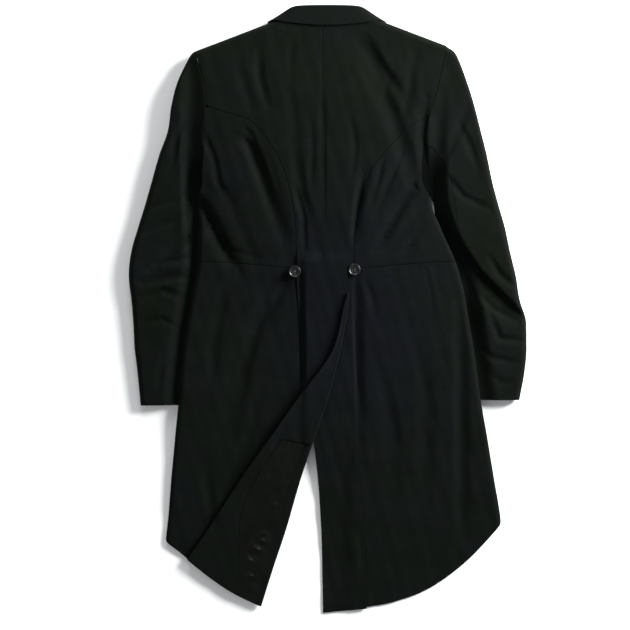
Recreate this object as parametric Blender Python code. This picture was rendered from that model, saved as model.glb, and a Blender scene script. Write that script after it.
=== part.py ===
"""A morning coat laid front down on a flat surface, with its back uppermost.

The collar points to +Y, the wearer's left is at -X, and the surface is z = 0.
Every panel is a cloth wall that follows one common form: the back above, a round
fold down each side, and the front below. Tables are in millimetres.
"""
import math

import bmesh
import bpy
import numpy as np

MM = 0.001
NAME = "morning_coat"

# How many columns or steps the meshes have
BACK_COLUMNS = 10
LINING_COLUMNS = 4
FACING_COLUMNS = 5
SIDEBODY_COLUMNS = 12
SKIRT_ROWS = 15
SKIRT_STEPS = (9, 7, 6)
FOREPART_COLUMNS = 9
LAPEL_ROWS = 7
SLEEVE_RINGS = 24
COLLAR_SECTIONS = 23
BUTTON_STEPS = 18
HOLE_STEPS = 8
SHARP_ANGLE = 50.0

# Cloth and seams
WALL = 2.0
LINING_WALL = 1.0
SEAM = 0.5
WAIST_SEAM = 0.8
BACK_SEAM = 0.8
LAP = 2.8
REST_GAP = 0.35
SIDE_ROUND = 9.0
SHOULDER_ROUND = 12.0
SLEEVE_ROUND = 11.0
INNER_ROUND = 3.6
TUCK = 7.6
CLEAR = 1.2
STEP = 0.5

# The shoulder line, as its height over the centre and its fall to the side
SHOULDER_TOP = 537.4
SHOULDER_SLOPE = 0.381

# Levels along the coat: the sleeve's ends, and where the back becomes the tail
ARMPIT = 188.0
CUFF = -167.0
TAIL_LEVELS = (80.0, 104.0)

# Body: level, left side, right side, height at the centre and by the side
BODY = (
    (-540.0, 286.0, 306.0, 2.3, 2.3),
    (-470.0, 286.0, 306.0, 2.4, 3.2),
    (-403.0, 283.5, 305.0, 3.6, 6.4),
    (-361.0, 279.0, 301.0, 5.0, 9.0),
    (-298.0, 274.0, 290.5, 7.5, 12.0),
    (-235.0, 268.0, 280.0, 10.5, 14.5),
    (-158.0, 260.0, 266.0, 14.5, 18.0),
    (-71.0, 252.0, 254.0, 18.5, 20.0),
    (0.0, 241.0, 242.0, 22.0, 21.0),
    (43.0, 233.0, 234.0, 25.0, 22.0),
    (83.0, 226.0, 222.0, 28.0, 23.0),
    (140.0, 225.0, 197.0, 33.0, 25.0),
    (188.0, 229.0, 180.0, 36.0, 26.0),
    (230.0, 238.0, 182.0, 37.5, 29.0),
    (280.0, 242.0, 190.0, 38.0, 31.0),
    (330.0, 240.0, 200.0, 37.5, 32.0),
    (384.0, 238.0, 215.0, 36.0, 31.0),
    (450.0, 258.0, 236.0, 30.0, 28.0),
    (535.0, 268.0, 250.0, 27.0, 26.0),
)

# Inner edge of each sleeve where it lies beneath the body: level, left, right
SLEEVE_INNER = (
    (-167.0, 196.0, 200.0),
    (-80.0, 184.0, 190.0),
    (0.0, 176.0, 184.0),
    (83.0, 186.0, 182.0),
    (140.0, 210.0, 178.0),
    (188.0, 228.0, 178.0),
)

# Back with its tail: centre edge and outer edge, from neck to hem
BACK_STEPS = 35
NECK_SHARE = 0.22
BACK_LEFT = (
    (10.5, 501.6, 231.0, 448.5),
    (10.5, 470.0, 221.0, 418.0),
    (10.5, 432.0, 213.5, 384.0),
    (10.5, 388.0, 210.5, 355.0),
    (10.5, 338.0, 140.0, 330.0),
    (10.5, 285.0, 101.0, 288.0),
    (10.5, 232.0, 74.0, 235.0),
    (10.5, 163.0, 58.0, 165.0),
    (10.5, 108.0, 55.0, 108.0),
    (10.5, 84.0, 54.0, 80.0),
    (-31.5, 74.0, 55.0, 66.0),
    (-34.0, 30.0, 52.0, 20.0),
    (-22.0, -57.0, 48.0, -60.0),
    (3.5, -158.0, 45.0, -155.0),
    (29.8, -235.0, 67.0, -232.0),
    (50.8, -298.0, 84.0, -292.0),
    (75.0, -382.0, 107.0, -372.0),
    (96.0, -445.0, 124.0, -435.0),
    (119.0, -518.0, 140.0, -508.0),
)
BACK_RIGHT = (
    (-10.0, 501.6, 205.0, 450.0),
    (-10.0, 470.0, 197.0, 418.0),
    (-10.0, 432.0, 189.0, 384.0),
    (-10.0, 380.0, 176.0, 340.0),
    (-10.0, 338.0, 142.0, 318.0),
    (-10.0, 285.0, 106.0, 282.0),
    (-10.0, 232.0, 70.0, 232.0),
    (-10.0, 163.0, 50.0, 163.0),
    (-10.0, 108.0, 44.0, 108.0),
    (-10.0, 84.0, 44.0, 80.0),
    (-34.0, 76.0, 43.5, 66.0),
    (-34.0, 25.0, 41.5, 20.0),
    (-33.0, -60.0, 42.5, -60.0),
    (-30.0, -155.0, 46.0, -155.0),
    (-26.0, -221.0, 49.5, -221.0),
    (-17.5, -298.0, 54.0, -298.0),
    (-12.0, -382.0, 60.0, -382.0),
    (-10.0, -455.0, 64.5, -455.0),
    (-8.8, -530.5, 67.0, -523.0),
)

# Turned-back part of the left tail: its fold is the tail's centre edge from this
# row on, and these are the points that its free edge reaches, as a distance to
# the left and a level, and the share of the width that the lining takes
FLAP_FIRST_ROW = 11
FLAP = (
    (-30.0, 16.0, 0.0),
    (-8.0, -71.0, 0.0),
    (49.0, -150.0, 0.0),
    (100.0, -222.0, 0.72),
    (140.0, -278.0, 0.76),
    (179.0, -337.0, 0.72),
    (212.0, -388.0, 0.52),
    (246.0, -436.0, 0.30),
)
FLAP_HEM_BOW = 8.0
FLAP_LIFT = 5.0
TURN_ANGLE = 60.0

# The lining's first row and least and greatest share, and the rows over which the
# flap's hem is bowed and its top bulges
LINING_FIRST_ROW = 3
LINING_SHARES = (0.3, 0.76)
LINING_DROP = 0.9
LINING_INSET = 1.2
HEM_STATIONS = 2.5
BULGE_STATIONS = 4.5

# Rows of each back between which its outer edge is the sidebody's seam
SIDEBODY_ROWS = (3, 9)
SIDEBODY_STEPS = 13
SIDEBODY_TIP = 0.14

# Armhole on the back: level, left and right
ARMHOLE = (
    (187.0, 226.0, 175.0),
    (204.0, 220.0, 169.0),
    (238.0, 218.5, 162.0),
    (279.0, 215.5, 165.0),
    (316.0, 213.5, 171.0),
    (350.0, 211.0, 178.5),
    (384.0, 213.5, 189.0),
    (418.0, 221.0, 197.0),
    (450.0, 231.5, 205.0),
)
SIDEBODY_LEVELS = {-1: (350.0, 316.0, 279.0, 240.0, 206.0), 1: (335.0, 304.0, 276.0, 240.0, 206.0)}

# Armhole round the side fold: share of the turn, and level
ARMHOLE_FOOT = ((0.3, 195.0), (0.8, 188.0))

# Side seam on the front: its top and its foot
SIDE_SEAM_LEFT = ((198.0, 186.0), (190.0, 84.0))
SIDE_SEAM_RIGHT = ((160.0, 186.0), (188.0, 84.0))

# How far a skirt goes under the tail, and the shares of its width at which its
# pleat ends and its side fold begins and ends
UNDERLAP = 12.0
PLEAT_SHARE = 0.36
SKIRT_BACK_SHARE = 0.4
SKIRT_FRONT_SHARE = 0.6

# Skirt: point on the waist seam and point on the edge below it, from the back
# pleat round the side fold to the front. Layer 0 is the back, 1 the side fold
# and 2 the front; on the fold the distance is a share of the turn.
SKIRT_COLUMNS = 60
SKIRT_LEFT = (
    (0, 41.0, 70.0, 128.0, -511.0),
    (0, 90.0, 74.0, 180.0, -486.5),
    (0, 135.0, 78.0, 222.0, -456.5),
    (0, 178.0, 81.0, 256.0, -427.0),
    (1, 0.0, 82.5, 0.0, -412.0),
    (1, 0.5, 82.5, 0.5, -400.0),
    (1, 1.0, 82.5, 1.0, -384.0),
    (2, 160.0, 82.0, 208.0, -236.0),
    (2, 100.0, 82.0, 132.0, -92.0),
    (2, 50.0, 82.0, 66.0, 10.0),
    (2, -10.0, 82.0, -8.0, 62.0),
)
SKIRT_RIGHT = (
    (0, 33.0, 70.0, 55.0, -522.0),
    (0, 80.0, 73.0, 112.0, -512.0),
    (0, 125.0, 77.0, 176.0, -488.0),
    (0, 172.0, 81.0, 240.0, -442.0),
    (1, 0.0, 82.5, 0.0, -384.0),
    (1, 0.5, 82.5, 0.5, -366.0),
    (1, 1.0, 82.5, 1.0, -348.0),
    (2, 160.0, 82.0, 208.0, -232.0),
    (2, 100.0, 82.0, 132.0, -90.0),
    (2, 50.0, 82.0, 66.0, 10.0),
    (2, -10.0, 82.0, -8.0, 62.0),
)

# Forepart, on the front: front edge with the lapel's roll, and levels down the armhole
FOREPART = (
    (106.0, 485.0, 448.0),
    (80.0, 452.0, 400.0),
    (63.0, 396.0, 340.0),
    (44.0, 316.0, 270.0),
    (30.0, 256.0, 204.0),
)
FRONT_STEPS = 5
SHOULDER_STEPS = (0.0, 0.015, 0.04, 0.08)
SHOULDER_FADE = 0.8

# Level of the neck edge at the back and at the front, and its rise to the side
BACK_NECK = 501.6
FRONT_NECK = 481.5
NECK_RISE = 0.026

# Front edge below the roll line, which laps over the middle
FRONT_EDGE = ((30.0, 256.0), (24.0, 235.0), (-6.0, 165.0), (-12.0, 140.0), (-12.0, 84.0))

# Lapel, folded under the forepart: roll line and free edge
LAPEL = (
    (70.0, 440.0, 134.0, 434.0),
    (60.0, 400.0, 118.0, 392.0),
    (41.0, 310.0, 90.0, 300.0),
    (24.0, 220.0, 56.0, 212.0),
    (10.0, 152.0, 20.0, 148.0),
)

# Sleeves: outer edge and inner edge of each ring, height, and how much of the
# armhole's hollow the ring keeps, from the armhole to the cuff
SLEEVE_LEFT = (
    (231.5, 449.5, 226.5, 196.0, 30.0, 1.0),
    (241.0, 439.0, 228.0, 194.0, 30.0, 0.75),
    (262.0, 395.0, 229.0, 191.0, 30.0, 0.4),
    (273.0, 353.0, 229.0, 188.0, 29.0, 0.15),
    (279.0, 311.0, 227.0, 182.0, 28.0, 0.0),
    (294.0, 269.0, 222.0, 168.0, 27.0, 0.0),
    (306.0, 227.0, 214.0, 148.0, 26.0, 0.0),
    (318.0, 185.0, 204.0, 124.0, 25.0, 0.0),
    (331.0, 143.0, 194.0, 98.0, 24.0, 0.0),
    (343.0, 101.0, 185.0, 70.0, 23.0, 0.0),
    (347.5, 59.0, 179.0, 38.0, 22.0, 0.0),
    (343.0, 17.0, 177.0, 4.0, 20.0, 0.0),
    (339.5, -25.0, 179.0, -34.0, 19.0, 0.0),
    (337.5, -67.0, 183.0, -74.0, 18.0, 0.0),
    (332.5, -109.0, 189.0, -114.0, 17.0, 0.0),
    (327.0, -167.5, 197.0, -166.0, 16.0, 0.0),
)
SLEEVE_RIGHT = (
    (208.5, 458.0, 177.0, 196.0, 30.0, 1.0),
    (225.0, 443.0, 182.0, 194.0, 30.0, 0.75),
    (243.0, 395.0, 183.0, 191.0, 30.0, 0.4),
    (255.5, 353.0, 184.0, 188.0, 29.0, 0.15),
    (266.0, 311.0, 185.0, 182.0, 28.0, 0.0),
    (276.5, 269.0, 186.0, 170.0, 28.0, 0.0),
    (285.0, 227.0, 187.0, 152.0, 28.0, 0.0),
    (296.0, 185.0, 187.0, 130.0, 28.0, 0.0),
    (308.0, 143.0, 186.0, 104.0, 28.0, 0.0),
    (317.0, 101.0, 185.0, 74.0, 27.0, 0.0),
    (327.0, 59.0, 184.0, 40.0, 26.0, 0.0),
    (334.0, 17.0, 185.0, 4.0, 25.0, 0.0),
    (346.0, -25.0, 187.0, -34.0, 22.0, 0.0),
    (346.5, -67.0, 190.0, -74.0, 19.0, 0.0),
    (343.0, -109.0, 195.0, -112.0, 17.0, 0.0),
    (334.0, -158.0, 201.0, -158.0, 16.0, 0.0),
)
ARMHOLE_RINGS = 4.0
ARMHOLE_GAP = 1.8
ARMHOLE_EASE = 1.0
SLEEVE_SEAM = 0.66
TYPICAL_WIDTH = 150.0

# Collar, from the centre back to its end: roll line, free edge and neck seam
COLLAR = (
    ((0.0, 525.6, 28.0), (0.0, 493.0, 30.4), (0.0, 504.2, 26.0)),
    ((30.0, 525.4, 27.9), (34.0, 494.5, 30.2), (30.0, 505.0, 25.8)),
    ((55.0, 523.8, 27.0), (72.0, 498.5, 29.4), (57.0, 506.5, 24.2)),
    ((70.0, 520.0, 22.6), (94.0, 501.5, 25.2), (74.0, 507.0, 19.6)),
    ((76.0, 516.5, 14.5), (105.0, 501.5, 14.5), (82.0, 506.0, 14.0)),
    ((75.0, 508.0, 5.6), (108.0, 496.0, 3.2), (78.0, 500.0, 8.4)),
    ((71.0, 490.0, 3.1), (106.0, 476.0, 1.05), (75.0, 482.0, 5.2)),
    ((64.0, 468.0, 3.0), (92.0, 448.0, 1.2), (67.0, 462.0, 5.0)),
)
COLLAR_MIDDLE = -2.0
COLLAR_BEND = 1.65
LEAF_SHARES = (0.0, 0.45, 0.92)
STAND_SHARES = (0.5, 1.0)
ROLL_STEPS = 5

# Buttons: their places and sizes, and the thread holes' size and distance
BACK_BUTTONS = {"back_button_left": (-57.8, 65.6), "back_button_right": (45.5, 69.0)}
FRONT_BUTTON = (0.0, 104.0)
BUTTON_RADIUS = 10.5
BUTTON_HEIGHT = 3.4
FRONT_BUTTON_HEIGHT = 2.0
FRONT_BUTTON_BASE = 0.1
HOLE_RADIUS = 1.1
HOLE_OFFSET = 1.61

# Half of a button's section from below to above, as shares of its radius and height
BUTTON_PROFILE = ((0.86, 0.0), (1.0, 0.35), (0.97, 0.85), (0.9, 1.0), (0.82, 0.94), (0.72, 0.62))

# Folds of the back: start, middle, end, depth, and half width to each side
BACK_FOLDS = (
    ((-149.0, 297.0), (-136.0, 284.0), (-66.0, 90.0), 5.0, 9.0, 16.0),
    ((-66.0, 372.0), (-46.0, 197.0), (-35.0, 165.0), 2.6, 14.0, 16.0),
    ((-156.0, 424.0), (-145.0, 385.0), (-133.0, 351.0), 1.6, 12.0, 12.0),
    ((-152.0, 144.0), (-136.0, 108.0), (-119.0, 73.0), 2.0, 10.0, 10.0),
    ((-224.0, 190.0), (-190.0, 128.0), (-154.0, 71.0), 6.0, 7.0, 26.0),
    ((51.0, 461.0), (112.0, 340.0), (150.0, 226.0), 5.0, 18.0, 26.0),
    ((150.0, 445.0), (142.0, 385.0), (131.0, 328.0), 2.6, 12.0, 12.0),
    ((70.0, 244.0), (57.0, 190.0), (47.0, 139.0), 2.6, 9.0, 14.0),
    ((168.0, 174.0), (130.0, 125.0), (84.0, 93.0), 4.5, 12.0, 20.0),
    ((-7.0, 420.0), (-6.0, 300.0), (-5.0, 165.0), 1.6, 3.0, 12.0),
    ((-66.0, 60.0), (-150.0, -80.0), (-172.0, -240.0), 3.0, 24.0, 34.0),
    ((228.0, 18.0), (232.0, -180.0), (234.0, -400.0), 4.0, 18.0, 16.0),
)

# Folds of the sleeves, in the same columns
SLEEVE_FOLDS = (
    ((-215.0, 139.0), (-262.0, 108.0), (-311.0, 69.0), 6.0, 9.0, 18.0),
    ((-215.0, 60.0), (-262.0, 56.0), (-320.0, 43.0), 5.0, 8.0, 16.0),
    ((-250.0, 20.0), (-290.0, 33.0), (-322.0, 16.0), 3.5, 9.0, 12.0),
    ((176.0, 184.0), (262.0, 62.0), (350.0, -26.0), 10.0, 8.0, 46.0),
    ((280.0, -3.0), (299.0, -50.0), (346.0, -55.0), 3.0, 8.0, 10.0),
    ((241.0, 349.0), (222.0, 302.0), (196.0, 254.0), 3.5, 12.0, 14.0),
)

# Finishes: colour, roughness, metallic
FINISHES = {
    "wool": ((0.012, 0.013, 0.015), 0.92, 0.0),
    "lining": ((0.010, 0.010, 0.011), 0.42, 0.0),
    "button": ((0.016, 0.016, 0.017), 0.30, 0.0),
}


def clear_scene():
    for item in list(bpy.context.scene.objects):
        bpy.data.objects.remove(item, do_unlink=True)


def make_collection(name):
    collection = bpy.data.collections.new(name)
    bpy.context.scene.collection.children.link(collection)
    return collection


def make_material(name, slot):
    """One material for each sub-part, in its slot's finish."""
    colour, roughness, metallic = FINISHES[slot]
    material = bpy.data.materials.new(name + "_" + slot)
    material.use_nodes = True
    shader = material.node_tree.nodes["Principled BSDF"]
    shader.inputs["Base Color"].default_value = (*colour, 1.0)
    shader.inputs["Roughness"].default_value = roughness
    shader.inputs["Metallic"].default_value = metallic
    return material


def spline(rows, place, column=1):
    """Smooth value of one column of a table at a place in its first column. It
    never swings past the table's own values."""
    table = np.array(rows, dtype=float)
    knots = table[:, 0]
    values = table[:, column]
    steps = np.diff(values) / np.diff(knots)
    least = np.minimum(np.abs(steps[:-1]), np.abs(steps[1:]))
    slopes = np.gradient(values, knots)
    inner = np.clip(slopes[1:-1], -3.0 * least, 3.0 * least)
    slopes[1:-1] = np.where(steps[:-1] * steps[1:] > 0.0, inner, 0.0)
    place = np.clip(place, knots[0], knots[-1])
    low = np.clip(np.searchsorted(knots, place, side="right") - 1, 0, len(knots) - 2)
    span = knots[low + 1] - knots[low]
    t = (place - knots[low]) / span
    rise = values[low + 1] - values[low]
    steady = values[low] + rise * t
    bend_low = (slopes[low] * span - rise) * t * (1 - t) ** 2
    bend_high = (rise - slopes[low + 1] * span) * t ** 2 * (1 - t)
    return steady + bend_low + bend_high


def along(points, share):
    """Points on a smooth curve through evenly counted points, at shares 0 to 1."""
    points = np.array(points, dtype=float)
    count = np.arange(len(points))
    place = np.asarray(share) * (len(points) - 1)
    columns = [spline(np.column_stack([count, points[:, k]]), place) for k in range(points.shape[1])]
    return np.stack(columns, axis=-1)


def ramp(value, start, end):
    """Smooth step from 0 at start to 1 at end."""
    t = np.clip((value - start) / (end - start), 0.0, 1.0)
    return t * t * (3.0 - 2.0 * t)


def body_column(side, y, column):
    return spline(BODY, y, column)


def side_reach(side, y):
    """How far the flat of the body reaches before the side fold begins."""
    return body_column(side, y, 1 if side < 0 else 2) - SIDE_ROUND


def fold_depth(folds, x, y):
    """Sum of the folds at a point: each is a soft trough along a bent line."""
    total = np.zeros(np.broadcast(x, y).shape)
    for start, middle, end, depth, left, right in folds:
        best = np.full(total.shape, 1e9)
        across = np.zeros(total.shape)
        share = np.zeros(total.shape)
        for leg, (a, b) in enumerate(((start, middle), (middle, end))):
            run = np.subtract(b, a)
            length = math.hypot(*run)
            t = np.clip(((x - a[0]) * run[0] + (y - a[1]) * run[1]) / length ** 2, 0.0, 1.0)
            off_x = x - (a[0] + run[0] * t)
            off_y = y - (a[1] + run[1] * t)
            gap = np.hypot(off_x, off_y)
            nearer = gap < best
            best = np.where(nearer, gap, best)
            across = np.where(nearer, run[0] * off_y - run[1] * off_x, across)
            share = np.where(nearer, (leg + t) / 2.0, share)
        width = np.where(across > 0, left, right)
        hollow = np.clip(1.0 - (best / width) ** 2, 0.0, 1.0) ** 2
        total += depth * hollow * np.sqrt(np.sin(np.pi * np.clip(share, 0.04, 0.96)))
    return total


def shoulder_turn(x, y):
    """1 on the flat of the body, falling to 0 at the shoulder line."""
    below = SHOULDER_TOP - SHOULDER_SLOPE * np.abs(x) - y
    t = np.clip(1.0 - below / SHOULDER_ROUND, 0.0, 1.0)
    return np.sqrt(1.0 - t * t)


def front_level(side, x, y):
    """Height of the front's outer face over the surface, away from the shoulder."""
    level = LAP * ramp(y, 20.0, 80.0)
    inner = spline(SLEEVE_INNER, y, 1 if side < 0 else 2)
    over_sleeve = ramp(side * x, inner - 60.0, inner - 22.0)
    beside_sleeve = ramp(y, CUFF - 80.0, CUFF - 34.0) * (1.0 - ramp(y, ARMPIT + 8.0, ARMPIT + 70.0))
    level = level + (TUCK + CLEAR - level) * over_sleeve * beside_sleeve
    if side > 0:
        lapped = (1.0 - ramp(x, 26.0, 62.0)) * ramp(y, 20.0, 45.0) * (1.0 - ramp(y, 190.0, 225.0))
        level = level + LAP * lapped
    return level


def back_level(side, x, y):
    """Height of the back's outer face, away from the shoulder."""
    reach = side_reach(side, y)
    middle = body_column(side, y, 3)
    edge = body_column(side, y, 4)
    share = np.clip(np.abs(x) / reach, 0.0, 1.0)
    return edge + (middle - edge) * (1.0 - share ** 2) - fold_depth(BACK_FOLDS, x, y)


def back_height(side, x, y):
    top = back_level(side, x, y)
    middle = 0.5 * (top + front_level(side, x, y))
    return middle + (top - middle) * shoulder_turn(x, y)


def front_height(side, x, y):
    bottom = front_level(side, x, y)
    middle = 0.5 * (back_level(side, x, y) + bottom)
    return middle + (bottom - middle) * shoulder_turn(x, y)


def body_point(side, turn, y, lift):
    """Point on the body's outer face. Turn runs 0 to 1 over the back, 1 to 2
    round the side fold and 2 to 3 over the front, back to the middle."""
    reach = side_reach(side, y)
    flat = np.where(turn < 1.5, turn, 3.0 - turn) * reach
    x_back = side * flat
    edge = side * reach
    top = back_height(side, edge, y)
    bottom = front_height(side, edge, y)
    angle = np.pi * np.clip(turn - 1.0, 0.0, 1.0)
    x_fold = side * (reach + SIDE_ROUND * np.sin(angle))
    z_fold = 0.5 * (top + bottom) + 0.5 * (top - bottom) * np.cos(angle)
    on_back = turn <= 1.0
    on_front = turn >= 2.0
    x = np.where(on_back | on_front, x_back, x_fold)
    z_back = back_height(side, x_back, y)
    z_front = front_height(side, x_back, y)
    z = np.where(on_back, z_back, np.where(on_front, z_front, z_fold))
    if lift is not None:
        z = z + np.where(on_back, lift(x, y), 0.0)
    return np.stack([x, y + 0.0 * x, z], axis=-1)


def body_wall(side, turn, y, lift=None):
    """Outer points and inner points of the body's wall."""
    outer = body_point(side, turn, y, lift)
    small = 0.002
    ahead = body_point(side, turn + small, y, lift)
    behind = body_point(side, turn - small, y, lift)
    up = body_point(side, turn, y + STEP, lift)
    down = body_point(side, turn, y - STEP, lift)
    normal = side * np.cross(ahead - behind, up - down)
    normal /= np.linalg.norm(normal, axis=-1, keepdims=True)
    return outer, outer - WALL * normal


def on_back(side, x, y):
    return x / side_reach(side, y), y


def on_front(side, x, y):
    return 3.0 - x / side_reach(side, y), y


def distance_round(side, layer, x, y):
    """Distance round the body from the middle of the back to a place on a layer:
    0 the back, 1 the side fold, where x is a share of the turn, and 2 the front."""
    reach = side_reach(side, y)
    fold = math.pi * SIDE_ROUND
    return (x, reach + fold * x, 2.0 * reach + fold - x)[layer]


def round_the_body(side, points):
    """The (turn, level) points of (distance round the body, level) points."""
    distance = points[:, 0]
    reach = side_reach(side, points[:, 1])
    fold = math.pi * SIDE_ROUND
    past = distance - reach
    on_fold = 1.0 + past / fold
    turn = np.where(past < 0.0, distance / reach, np.where(past < fold, on_fold, 2.0 + (past - fold) / reach))
    return np.stack([turn, points[:, 1]], axis=-1)


def grid_faces(rows, columns):
    """Quads of a grid, row by row."""
    faces = []
    for i in range(rows - 1):
        for j in range(columns - 1):
            a = i * columns + j
            faces.append((a, a + 1, a + columns + 1, a + columns))
    return faces


def wall_object(name, collection, outer, inner, faces, slot="wool"):
    """Closed wall between two point sheets, with a rim along every open edge."""
    outer = np.reshape(outer, (-1, 3)) * MM
    inner = np.reshape(inner, (-1, 3)) * MM
    used = sorted({index for face in faces for index in face})
    mesh = bpy.data.meshes.new(name)
    shape = bmesh.new()
    top = {index: shape.verts.new(outer[index]) for index in used}
    bottom = {index: shape.verts.new(inner[index]) for index in used}
    directed = set()
    for face in faces:
        shape.faces.new([top[index] for index in face])
        shape.faces.new([bottom[index] for index in reversed(face)])
        directed.update(zip(face, face[1:] + face[:1]))
    for a, b in directed:
        if (b, a) not in directed:
            shape.faces.new((top[b], top[a], bottom[a], bottom[b]))
    bmesh.ops.triangulate(shape, faces=shape.faces[:])
    bmesh.ops.recalc_face_normals(shape, faces=shape.faces[:])
    shape.to_mesh(mesh)
    shape.free()
    mesh.shade_smooth()
    mesh.set_sharp_from_angle(angle=math.radians(SHARP_ANGLE))
    return add_object(name, mesh, collection, slot)


def add_object(name, mesh, collection, slot):
    item = bpy.data.objects.new(name, mesh)
    item.data.materials.append(make_material(name, slot))
    collection.objects.link(item)
    return item


def even(count):
    return np.linspace(0.0, 1.0, count)


def between(first, last, shares):
    """Rows of (turn, level) points from one edge of a panel to the other."""
    shares = np.asarray(shares)[None, :, None]
    return first[:, None, :] * (1.0 - shares) + last[:, None, :] * shares


def tail_share(y):
    """0 on the back, 1 on the tail, where layers lie on each other."""
    return 1.0 - ramp(y, *TAIL_LEVELS)


def left_tail_lift(x, y):
    over_right_tail = ramp(x, -50.0, -36.0) * ramp(y, -330.0, -215.0)
    return LAP * tail_share(y) * (1.0 + over_right_tail)


def right_tail_lift(x, y):
    """Over the skirt by the pleat, and down to the surface beyond it below."""
    near_pleat = ramp(x, 20.0, 48.0)
    return LAP * tail_share(y) * np.maximum(near_pleat, ramp(y, -330.0, -215.0))


def moved_aside(points, distance):
    """Curve moved sideways in plan, to its left as it runs."""
    run = np.gradient(points, axis=0)
    run /= np.linalg.norm(run, axis=-1, keepdims=True)
    return points + distance * np.stack([-run[:, 1], run[:, 0]], axis=-1)


def back_rows():
    """Shares of a back's length: close together at the shoulder's round edge."""
    step = 1.0 / (len(BACK_LEFT) - 1)
    first = step * np.array([0.0, 0.08, 0.22, 0.42])
    return np.concatenate([first, step * np.linspace(1.0, len(BACK_LEFT) - 1.0, BACK_STEPS)])


def back_edges(side, table, shares):
    """Edges of a back as (turn, level) curves."""
    points = along(table, shares)
    at_armhole = shares <= (SIDEBODY_ROWS[0] + 0.01) / (len(table) - 1)
    points[:, 2] = np.where(at_armhole, armhole_reach(side, points[:, 3]), points[:, 2])
    centre = np.stack(on_back(side, points[:, 0], points[:, 1]), axis=-1)
    outer = np.stack(on_back(side, points[:, 2], points[:, 3]), axis=-1)
    return centre, outer


def raise_rows(side, grid, fade, neck, front):
    """Bring the first row to the shoulder line and the neck, and ease the next."""
    flat = 3.0 - grid[..., 0] if front else grid[..., 0]
    x = flat * side_reach(side, grid[..., 1])
    shoulder = SHOULDER_TOP - SHOULDER_SLOPE * np.abs(x[0]) - SEAM * 0.5
    target = np.minimum(shoulder, neck + NECK_RISE * np.abs(x[0]))
    y = grid[..., 1] + fade[:, None] * (target - grid[0, :, 1])[None, :]
    flat = x / side_reach(side, y)
    return np.stack([3.0 - flat if front else flat, y], axis=-1)


def back_grid(side, table, shares):
    rows = back_rows()
    centre, outer = back_edges(side, table, rows)
    fade = (1.0 - np.clip(rows / NECK_SHARE, 0.0, 1.0)) ** 2
    return raise_rows(side, between(centre, outer, shares), fade, BACK_NECK, False)


def make_back_right(collection):
    shares = even(BACK_COLUMNS)
    grid = back_grid(1, BACK_RIGHT, shares)
    top, bottom = body_wall(1, grid[..., 0], grid[..., 1], right_tail_lift)
    wall_object("back_right", collection, top, bottom, grid_faces(len(grid), len(shares)))


def flap_columns(rows):
    """Free edge of the turned-back tail, and the shares of its width for each row."""
    share = even(rows)
    free = along([row[:2] for row in FLAP], share)
    lining = spline([(k / (len(FLAP) - 1), row[2]) for k, row in enumerate(FLAP)], share)
    inner_shares = even(LINING_COLUMNS + 1)
    outer_shares = even(FACING_COLUMNS + 1)[1:]
    split = np.clip(lining, *LINING_SHARES)[:, None]
    columns = np.concatenate([split * inner_shares, split + (1.0 - split) * outer_shares], axis=1)
    return free, columns


def make_back_left(collection):
    """Left back, its tail, the turn at its fold and the part lying on top."""
    shares = even(BACK_COLUMNS)
    grid = back_grid(-1, BACK_LEFT, shares)
    rows = len(grid)
    top, bottom = body_wall(-1, grid[..., 0], grid[..., 1], left_tail_lift)
    first = rows - BACK_STEPS + 2 * (FLAP_FIRST_ROW - 1)
    fold_top = top[first:, 0]
    fold_bottom = bottom[first:, 0]
    free, columns = flap_columns(len(fold_top))
    row = np.arange(len(free)) * (len(FLAP) - 1.0) / (len(free) - 1.0)

    # Direction across the fold, away from the tail
    run = np.gradient(fold_top[:, :2], axis=0)
    outward = np.stack([-run[:, 1], run[:, 0], 0.0 * run[:, 0]], axis=-1)
    outward /= np.linalg.norm(outward, axis=-1, keepdims=True)
    upward = np.array([0.0, 0.0, 1.0])
    turn_top = []
    turn_bottom = []
    for angle in np.radians([-TURN_ANGLE, 0.0, TURN_ANGLE]):
        direction = math.cos(angle) * outward + math.sin(angle) * upward
        pivot = fold_top + REST_GAP * upward
        turn_top.append(pivot + REST_GAP * direction)
        turn_bottom.append(pivot + (REST_GAP + WALL) * direction)

    # The part that lies on the tail, face down, and then the skirt
    x = fold_top[:, None, 0] * (1.0 - columns) - free[:, None, 0] * columns
    y = fold_top[:, None, 1] * (1.0 - columns) + free[:, None, 1] * columns
    hem = ramp(row, len(FLAP) - 1.0 - HEM_STATIONS, len(FLAP) - 1.0)[:, None]
    y = y - FLAP_HEM_BOW * hem * np.sin(np.pi * columns)
    rest = back_height(-1, x, y) + left_tail_lift(x, np.minimum(y, TAIL_LEVELS[0]))
    bulge = FLAP_LIFT * np.sin(np.pi * np.clip(row / BULGE_STATIONS, 0.0, 1.0))[:, None]
    z = rest + 2.0 * REST_GAP + bulge * columns ** 2
    flap_top = np.stack([x, y, z], axis=-1)
    flap_bottom = flap_top + WALL * upward

    extra = [np.stack(turn_top, axis=1), flap_top]
    extra_low = [np.stack(turn_bottom, axis=1), flap_bottom]
    side_top = np.concatenate(extra, axis=1)[:, ::-1]
    side_bottom = np.concatenate(extra_low, axis=1)[:, ::-1]
    width = side_top.shape[1]
    whole_top = np.zeros((rows, width + len(shares), 3))
    whole_bottom = np.zeros_like(whole_top)
    whole_top[:, width:] = top
    whole_bottom[:, width:] = bottom
    whole_top[first:, :width] = side_top
    whole_bottom[first:, :width] = side_bottom
    total = width + len(shares)
    faces = [
        face for face in grid_faces(rows, total)
        if face[0] % total >= width or face[0] // total >= first
    ]
    wall_object("back_left", collection, whole_top, whole_bottom, faces)
    return flap_bottom


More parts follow.
